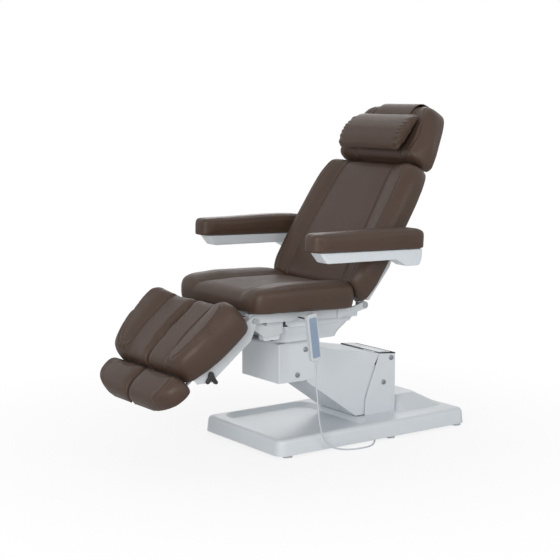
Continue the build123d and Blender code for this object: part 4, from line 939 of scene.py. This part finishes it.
legPad = {
    "plane": "leg",
    "ends": (-0.384, -0.034),
    "base": 0.0248,
    "inner": 0.0052,
    "profile": [
        (0.020, 0.030),
        (0.000, 0.220),
        (0.000, 0.650),
        (0.012, 0.860),
        (0.050, 0.970),
        (0.120, 1.000),
        (0.360, 1.000),
        (0.460, 0.985, 0.05),
        (0.495, 0.945, 0.10),
        (0.535, 0.975, 0.30),
        (0.660, 1.000, 0.80),
        (0.800, 1.000, 1.00),
        (0.880, 0.985, 0.95),
        (0.940, 0.930, 0.80),
        (0.980, 0.800, 0.50),
        (1.000, 0.600),
        (0.998, 0.320),
        (0.975, 0.050),
        (0.940, -0.125),
        (0.905, -0.165),
        (0.870, -0.165),
        (0.842, -0.120),
        (0.836, 0.000),
        (0.800, 0.000),
        (0.060, 0.000),
    ],
    "width": [
        (-0.384, 0.234),
        (-0.376, 0.258),
        (-0.355, 0.278),
        (-0.32, 0.295),
        (-0.27, 0.311),
        (-0.20, 0.321),
        (-0.12, 0.324),
        (-0.08, 0.320),
        (-0.055, 0.308),
        (-0.04, 0.288),
        (-0.034, 0.264),
    ],
    "height": [
        (-0.384, 0.074),
        (-0.377, 0.094),
        (-0.36, 0.110),
        (-0.33, 0.119),
        (-0.28, 0.127),
        (-0.20, 0.134),
        (-0.08, 0.134),
        (-0.055, 0.129),
        (-0.041, 0.116),
        (-0.034, 0.096),
    ],
    "lift": [
        (-0.384, 0.006),
        (-0.35, 0.016),
        (-0.28, 0.019),
        (-0.20, 0.022),
        (-0.13, 0.028),
        (-0.08, 0.031),
        (-0.05, 0.026),
        (-0.034, 0.012),
    ],
    "voxel": 0.005,
    "inset": 0.003,
    "cap": 0.003,
    "seams": [
        {
            "route": [
                (-0.045, 0.165),
                (-0.13, 0.159),
                (-0.20, 0.156),
                (-0.28, 0.157),
                (-0.34, 0.166),
                (-0.368, 0.180),
            ],
            "depth": 0.0035,
            "width": 0.0036,
            "roll": 0.0012,
            "stitch": 0.0070,
        },
        {
            "route": [
                (-0.062, 0.245),
                (-0.085, 0.270),
                (-0.13, 0.282),
                (-0.20, 0.281),
                (-0.27, 0.265),
                (-0.33, 0.238),
                (-0.352, 0.214),
            ],
            "depth": 0.0022,
            "width": 0.0042,
            "roll": 0.0022,
        },
    ],
}
footPad = {
    "plane": "leg",
    "ends": (-0.534, -0.3875),
    "base": -0.012,
    "inner": 0.0052,
    "profile": [
        (0.060, 0.010),
        (0.015, 0.120),
        (0.000, 0.330),
        (0.000, 0.660),
        (0.012, 0.850),
        (0.050, 0.950),
        (0.130, 0.995),
        (0.400, 1.010),
        (0.700, 1.000),
        (0.860, 0.975),
        (0.910, 0.930),
        (0.955, 0.830),
        (0.990, 0.630),
        (1.000, 0.400),
        (0.985, 0.190),
        (0.940, 0.060),
        (0.860, 0.005),
        (0.700, 0.000),
        (0.200, 0.000),
    ],
    "width": [
        (-0.534, 0.160),
        (-0.530, 0.186),
        (-0.518, 0.224),
        (-0.50, 0.256),
        (-0.47, 0.284),
        (-0.43, 0.294),
        (-0.405, 0.288),
        (-0.393, 0.274),
        (-0.3875, 0.256),
    ],
    "height": [
        (-0.534, 0.030),
        (-0.529, 0.048),
        (-0.516, 0.066),
        (-0.495, 0.079),
        (-0.46, 0.086),
        (-0.42, 0.086),
        (-0.402, 0.082),
        (-0.392, 0.073),
        (-0.3875, 0.060),
    ],
    "voxel": 0.005,
    "inset": 0.003,
    "cap": 0.003,
    "seams": [
        {
            "route": [(-0.415, 0.236), (-0.45, 0.242), (-0.49, 0.236), (-0.51, 0.214)],
            "depth": 0.0018,
            "width": 0.004,
            "roll": 0.0020,
        }
    ],
}
armPad = {
    "plane": "arm",
    "ends": (-0.553, 0.029),
    "base": 0.0336,
    "inner": 0.358,
    "innerPlace": [
        (-0.553, 0.390),
        (-0.550, 0.380),
        (-0.541, 0.368),
        (-0.527, 0.361),
        (-0.500, 0.358),
        (-0.020, 0.358),
        (0.003, 0.361),
        (0.017, 0.368),
        (0.026, 0.380),
        (0.029, 0.390),
    ],
    "profile": [
        (0.035, 0.000),
        (0.000, 0.070),
        (0.000, 0.680),
        (0.020, 0.830),
        (0.075, 0.930),
        (0.170, 0.985),
        (0.330, 1.000),
        (0.670, 1.000),
        (0.830, 0.985),
        (0.925, 0.930),
        (0.980, 0.830),
        (1.000, 0.680),
        (1.000, 0.070),
        (0.965, 0.000),
    ],
    "width": [
        (-0.553, 0.430),
        (-0.550, 0.440),
        (-0.541, 0.452),
        (-0.527, 0.459),
        (-0.500, 0.462),
        (-0.020, 0.462),
        (0.003, 0.459),
        (0.017, 0.452),
        (0.026, 0.440),
        (0.029, 0.430),
    ],
    "height": [
        (-0.553, 0.088),
        (-0.549, 0.099),
        (-0.534, 0.109),
        (-0.40, 0.113),
        (-0.12, 0.122),
        (-0.02, 0.119),
        (0.018, 0.109),
        (0.029, 0.094),
    ],
    "voxel": 0.005,
    "inset": 0.002,
    "cap": 0.002,
}


def mirroredPiece(source, name):
    # the same piece for the chair's right side, with its faces turned outward again
    mesh = source.data.copy()
    place = points(mesh)
    place[:, 0] *= -1
    setPoints(mesh, place)
    mesh.flip_normals()
    return link(name, mesh)


def finishPad(piece, node):
    finishPiece(piece, bodyOf[node], "brownHide", [node])
    print("pad", piece.name, len(piece.data.polygons), "faces")


# sewn stitches on both sides of a seam
threadSetup = {"Spacing": 0.0058, "Length": 0.0044, "Thickness": 0.0009}
rowPoints = 160
rowProud = 0.0002
castHeight = 0.3  # the rows are dropped onto the pad from this far out


def makeStitchTree():
    # one small rounded stitch at even steps along each row
    tree = bpy.data.node_groups.new("seamStitches", "GeometryNodeTree")
    addSocket = tree.interface.new_socket
    addSocket(name="Rows", in_out="INPUT", socket_type="NodeSocketGeometry")
    for label in threadSetup:
        addSocket(name=label, in_out="INPUT", socket_type="NodeSocketFloat")
    addSocket(name="Thread", in_out="INPUT", socket_type="NodeSocketMaterial")
    addSocket(name="Stitches", in_out="OUTPUT", socket_type="NodeSocketGeometry")
    make = tree.nodes.new
    start, end = make("NodeGroupInput"), make("NodeGroupOutput")
    rows = make("GeometryNodeMeshToCurve")
    steps = make("GeometryNodeResampleCurve")
    steps.mode = "LENGTH"
    along = make("GeometryNodeInputTangent")
    turned = make("FunctionNodeAlignRotationToVector")
    turned.axis = "X"
    stitch = make("GeometryNodeMeshUVSphere")
    setInputs(stitch, {"Segments": 6, "Rings": 4, "Radius": 0.5})
    size = make("ShaderNodeCombineXYZ")
    placed = make("GeometryNodeInstanceOnPoints")
    real = make("GeometryNodeRealizeInstances")
    finish = make("GeometryNodeSetMaterial")
    wire(
        tree,
        (start, "Rows", rows, "Mesh"),
        (rows, "Curve", steps, "Curve"),
        (start, "Spacing", steps, "Length"),
        (steps, "Curve", placed, "Points"),
        (stitch, "Mesh", placed, "Instance"),
        (along, "Tangent", turned, "Vector"),
        (turned, "Rotation", placed, "Rotation"),
        (start, "Length", size, "X"),
        (start, "Thickness", size, "Y"),
        (start, "Thickness", size, "Z"),
        (size, "Vector", placed, "Scale"),
        (placed, "Instances", real, "Geometry"),
        (real, "Geometry", finish, "Geometry"),
        (start, "Thread", finish, "Material"),
        (finish, "Geometry", end, "Stitches"),
    )
    return tree


stitchTree = makeStitchTree()


def seamRow(route, offset):
    # even points beside a seam, in the pad's plane
    path = roundedPath(route, rowPoints, False)
    run = np.gradient(path, axis=0)
    run /= np.linalg.norm(run, axis=1)[:, None]
    return path + offset * np.stack((-run[:, 1], run[:, 0]), axis=1)


def stitchRows(piece, pad, side):
    # points and edges of every stitch row, lying on the pad's upper face
    plane = PadPlane(pad["plane"])
    surface = BVHTree.FromObject(piece, bpy.context.evaluated_depsgraph_get())
    down = Vector(-plane.out)
    spots, edges = [], []
    rows = [(seam, turn * seam["stitch"]) for seam in pad["seams"] if "stitch" in seam for turn in (-1, 1)]
    for seam, offset in rows:
        before = None
        for along, across in seamRow(seam["route"], offset):
            start = plane.world(np.array([[along, side * across, castHeight]]))[0]
            hit, facing, _, _ = surface.ray_cast(Vector(start), down, castHeight + 0.1)
            if hit is None:
                before = None
                continue
            spots.append(hit + facing * rowProud)
            if before is not None:
                edges.append((before, len(spots) - 1))
            before = len(spots) - 1
    return spots, edges


def stitchSeams(piece, pad, side, node):
    spots, edges = stitchRows(piece, pad, side)
    mesh = bpy.data.meshes.new(piece.name + "Rows")
    mesh.from_pydata(spots, edges, [])
    row = link(piece.name + "Stitches", mesh)
    sewing = row.modifiers.new("stitches", "NODES")
    sewing.node_group = stitchTree
    inputs = [item for item in stitchTree.interface.items_tree if item.in_out == "INPUT"]
    sockets = {item.name: item.identifier for item in inputs}
    for label, value in threadSetup.items():
        sewing[sockets[label]] = value
    sewing[sockets["Thread"]] = materials["brownThread"]
    bakeModifiers(row)
    finishPiece(row, bodyOf[node], "brownThread")


def midPad(name, node, pad):
    piece = softPad(name, pad)
    finishPad(piece, node)
    stitchSeams(piece, pad, 1, node)


def sidePads(name, node, pad):
    left = softPad(name + "Left", pad)
    right = mirroredPiece(left, name + "Right")
    finishPad(left, node + "_left")
    finishPad(right, node + "_right")
    if any("stitch" in seam for seam in pad.get("seams", [])):
        stitchSeams(left, pad, 1, node + "_left")
        stitchSeams(right, pad, -1, node + "_right")


midPad("seatPad", "seat_cushion", seatPad)
midPad("backPad", "back_cushion", backPad)
midPad("headPad", "headrest_cushion", headPad)
sidePads("legPad", "leg_cushion", legPad)
sidePads("footPad", "foot_pad", footPad)
sidePads("armPad", "armrest_pad", armPad)


# head pillow with gathered ends, and the strap that carries it over the head rest

pillowSetup = {
    "section": [
        (0.120, 0.1390),
        (0.198, 0.1285),
        (0.206, 0.1320),
        (0.204, 0.1420),
        (0.194, 0.1540),
        (0.172, 0.1720),
        (0.138, 0.1910),
        (0.100, 0.2030),
        (0.064, 0.2050),
        (0.036, 0.1990),
        (0.016, 0.1880),
        (0.0085, 0.1780),
        (0.014, 0.1680),
        (0.060, 0.1520),
    ],
    "middle": (0.095, 0.165),
    "half": 0.203,
    "stations": [(-0.203, -0.170, 10), (-0.160, 0.160, 30), (0.170, 0.203, 10)],
    "ends": [
        (-0.203, 0.90),
        (-0.1995, 0.955),
        (-0.190, 0.985),
        (-0.170, 1.0),
        (0.170, 1.0),
        (0.190, 0.985),
        (0.1995, 0.955),
        (0.203, 0.90),
    ],
    "voxel": 0.005,
    "inset": 0.002,
    "cap": 0.002,
    "pressure": 2.5,
    "fill": 0.85,
    "gathers": 15,
    "gatherDepth": 0.0050,
    "reach": 0.034,
}


def pillowMesh(setup):
    plane = PadPlane("head")
    middle = np.array(setup["middle"])
    section = roundedPath(setup["section"], 110, True) - middle
    stations = np.concatenate([np.linspace(*part) for part in setup["stations"]])
    rings = []
    for station, scale in zip(stations, eased(setup["ends"], stations)):
        ring = section * scale + middle
        rings.append(np.stack((ring[:, 0], np.full(len(ring), station), ring[:, 1]), axis=1))
    faces = tubeFaces(len(rings), len(section))
    return builtMesh("headPillow", plane.world(np.vstack(rings)).tolist(), faces)


def gatherEnds(piece, setup):
    # small folds that run in from both ends of the pillow and fade out
    spots = PadPlane("head").local(points(piece.data))
    outward = normals(piece.data)
    middle = setup["middle"]
    around = np.arctan2(spots[:, 2] - middle[1], spots[:, 0] - middle[0])
    edge = np.clip((np.abs(spots[:, 1]) - setup["half"] + setup["reach"]) / setup["reach"], 0, 1)
    turned = around * setup["gathers"] + np.sign(spots[:, 1]) * 0.7 + 0.9 * np.sin(around * 2.0)
    wave = 0.75 * np.sin(turned) + 0.25 * np.sin(turned * 0.47 + 1.0)
    flank = np.clip(1.2 - np.abs(outward[:, 0]), 0, 1)
    front = np.clip((spots[:, 2] - 0.150 + spots[:, 0] * 0.13) / 0.012, 0, 1)
    push = setup["gatherDepth"] * (wave - 0.35) * edge**1.4 * flank * front
    setPoints(piece.data, points(piece.data) + outward * push[:, None])


def makePillow(setup):
    piece = link("headPillow", pillowMesh(setup))
    remeshPiece(piece, setup["voxel"])
    setPoints(piece.data, points(piece.data) - normals(piece.data) * setup["inset"])
    swell(piece, setup["cap"], setup["pressure"])
    finerPiece(piece)
    gatherEnds(piece, setup)
    finishPiece(piece, "head", "brownHide", ["head_pillow"])


strapSetup = {
    "half": 0.120,
    "thickness": 0.0042,
    "edge": 0.0014,
    "groove": {"inset": 0.009, "width": 0.0022, "depth": 0.0009},
    "fill": 0.3,
    "route": [
        (0.168, 0.1262),
        (0.195, 0.1258),
        (0.222, 0.1215),
        (0.245, 0.1140),
        (0.265, 0.1020),
        (0.2790, 0.0860),
        (0.2865, 0.0660),
        (0.2885, 0.0420),
        (0.2865, 0.0180),
        (0.2800, -0.0010),
        (0.2620, -0.0070),
        (0.2250, -0.0075),
    ],
}


def makeStrap(setup):
    plane = PadPlane("head")
    path = roundedPath(setup["route"], 60, False)
    acrosses = np.linspace(-setup["half"], setup["half"], 41)
    spots = np.array([(along, across, out) for along, out in path for across in acrosses])
    width = len(acrosses)
    faces = [
        (row * width + step, row * width + step + 1, (row + 1) * width + step + 1, (row + 1) * width + step)
        for row in range(len(path) - 1)
        for step in range(width - 1)
    ]
    mesh = bpy.data.meshes.new("pillowStrap")
    mesh.from_pydata(plane.world(spots).tolist(), [], faces)
    piece = link("pillowStrap", mesh)
    thick = piece.modifiers.new("thick", "SOLIDIFY")
    thick.thickness = setup["thickness"]
    thick.offset = 0.0
    bakeModifiers(piece)
    faceOutward(piece.data)
    bevelPiece(piece, setup["edge"], 2)
    groove = setup["groove"]
    spots = plane.local(points(piece.data))
    gap = np.abs(np.abs(spots[:, 1]) - setup["half"] + groove["inset"])
    push = groove["depth"] * np.exp(-((gap / groove["width"]) ** 2))
    setPoints(piece.data, points(piece.data) - normals(piece.data) * push[:, None])
    finishPiece(piece, "head", "brownHide", ["pillow_strap"])


makePillow(pillowSetup)
makeStrap(strapSetup)
print("pillow and strap are made")


# white pods under the arm pads, drawn in to the pads' length

podSetup = {"cadEnds": (-0.548, 0.044), "ends": (-0.521, 0.014), "voxel": 0.003, "passes": 9}


def makePod(side, setup):
    node = "armrest_pod_" + side
    plane = PadPlane("arm")
    mesh = nodes[node].data.copy()
    work = bmesh.new()
    work.from_mesh(mesh)
    bmesh.ops.remove_doubles(work, verts=work.verts, dist=1e-5)
    work.to_mesh(mesh)
    work.free()
    spots = plane.local(points(mesh))
    low, high = setup["cadEnds"]
    newLow, newHigh = setup["ends"]
    spots[:, 0] = newLow + (spots[:, 0] - low) / (high - low) * (newHigh - newLow)
    setPoints(mesh, plane.world(spots))
    piece = link("armPod" + side.capitalize(), mesh)
    remeshPiece(piece, setup["voxel"])
    settlePiece(piece, setup["passes"])
    finishPiece(piece, bodyOf[node], "whiteShell", [node])


for side in ("left", "right"):
    makePod(side, podSetup)


# covers: the plate behind the upper lift arm's cover, and the panels beside the seat bowl


def makePlate(name, outline, low, high, edge, body, finish, replaced=()):
    # a flat plate from its (y, z) outline, between two places across
    count = len(outline)
    spots = [(across, y, z) for across in (low, high) for y, z in outline]
    faces = [(step, (step + 1) % count, count + (step + 1) % count, count + step) for step in range(count)]
    faces += [tuple(range(count)), tuple(range(2 * count - 1, count - 1, -1))]
    piece = link(name, builtMesh(name, spots, faces))
    bevelPiece(piece, edge, 3)
    piece.data.set_sharp_from_angle(angle=math.radians(35))
    finishPiece(piece, body, finish, replaced)


tailSetup = {
    "front": (0.4065, 0.3542),
    "rear": (0.4745, 0.3474),
    "half": 0.1300,
    "thickness": 0.0022,
    "edge": 0.0008,
}
panelSetup = {
    "outline": [
        (-0.158, 0.567),
        (0.190, 0.567),
        (0.190, 0.546),
        (0.176, 0.530),
        (-0.130, 0.530),
        (-0.158, 0.545),
    ],
    "inner": 0.2080,
    "thickness": 0.0030,
    "edge": 0.001,
}


def makeTailPlate(setup):
    (frontY, frontZ), (rearY, rearZ) = setup["front"], setup["rear"]
    thickness, half = setup["thickness"], setup["half"]
    outline = [(frontY, frontZ), (rearY, rearZ), (rearY, rearZ + thickness), (frontY, frontZ + thickness)]
    body = bodyOf["upper_arm_cover"]
    makePlate("armTailPlate", outline, -half, half, setup["edge"], body, "whiteShell")


def makeBowlPanel(side, setup):
    inner = setup["inner"] if side == "Left" else -setup["inner"] - setup["thickness"]
    outer = inner + setup["thickness"]
    outline, edge = setup["outline"], setup["edge"]
    makePlate("bowlPanel" + side, outline, inner, outer, edge, "seat", "whiteShell")


leverSetup = {
    "pivot": (-0.5568, 0.3916),
    "outline": [
        (-0.010, 0.006),
        (-0.006, 0.011),
        (0.002, 0.013),
        (0.009, 0.010),
        (0.013, 0.002),
        (0.016, -0.010),
        (0.031, -0.030),
        (0.030, -0.038),
        (0.022, -0.041),
        (0.013, -0.036),
        (0.003, -0.023),
        (-0.003, -0.023),
        (-0.009, -0.033),
        (-0.018, -0.036),
        (-0.024, -0.030),
        (-0.021, -0.021),
        (-0.012, -0.008),
    ],
    "inner": 0.2545,
    "outer": 0.2660,
    "edge": 0.0028,
}


def makeLever(side, sign, setup):
    y, z = setup["pivot"]
    outline = [(y + dy, z + dz) for dy, dz in setup["outline"]]
    low, high = sorted((sign * setup["inner"], sign * setup["outer"]))
    name, body, node = "forkLever" + side.capitalize(), "lever_" + side, "release_lever_" + side
    makePlate(name, outline, low, high, setup["edge"], body, "blackPlastic", [node])


makeTailPlate(tailSetup)
for side in ("Left", "Right"):
    makeBowlPanel(side, panelSetup)
makeLever("left", 1, leverSetup)
makeLever("right", -1, leverSetup)
print("covers and levers are made")


# handset cord

cordSetup = {"radius": 0.0035, "length": 0.775}
cordRoute = [
    (0.3280, 0.1462, 0.4032),
    (0.3280, 0.1524, 0.3561),
    (0.3280, 0.1580, 0.2900),
    (0.3260, 0.1680, 0.2050),
    (0.3210, 0.1800, 0.1350),
    (0.3160, 0.1980, 0.0820),
    (0.3125, 0.2230, 0.0420),
    (0.3150, 0.2660, 0.0160),
    (0.3250, 0.3240, 0.0038),
    (0.3410, 0.3860, 0.0038),
    (0.3330, 0.4520, 0.0038),
    (0.2900, 0.5020, 0.0038),
    (0.2580, 0.5290, 0.0140),
    (0.2460, 0.5530, 0.0300),
    (0.2460, 0.5803, 0.0300),
]


def makeCord(setup, route):
    data = bpy.data.curves.new("handsetCord", "CURVE")
    data.dimensions = "3D"
    data.bevel_depth = setup["radius"]
    data.bevel_resolution = 4
    data.resolution_u = 16
    data.use_fill_caps = True
    spline = data.splines.new("NURBS")
    spline.points.add(len(route) - 1)
    for point, (across, setback, height) in zip(spline.points, route):
        point.co = (across, baseFront + setback, height, 1)
    spline.order_u = 3
    spline.use_endpoint_u = True
    cord = bpy.data.objects.new("handsetCord", data)
    scene.collection.objects.link(cord)
    data.materials.append(materials["greyPlastic"])
    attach(cord, "base")
    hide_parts("handset_cord")


makeCord(cordSetup, cordRoute)
print("cord is laid")
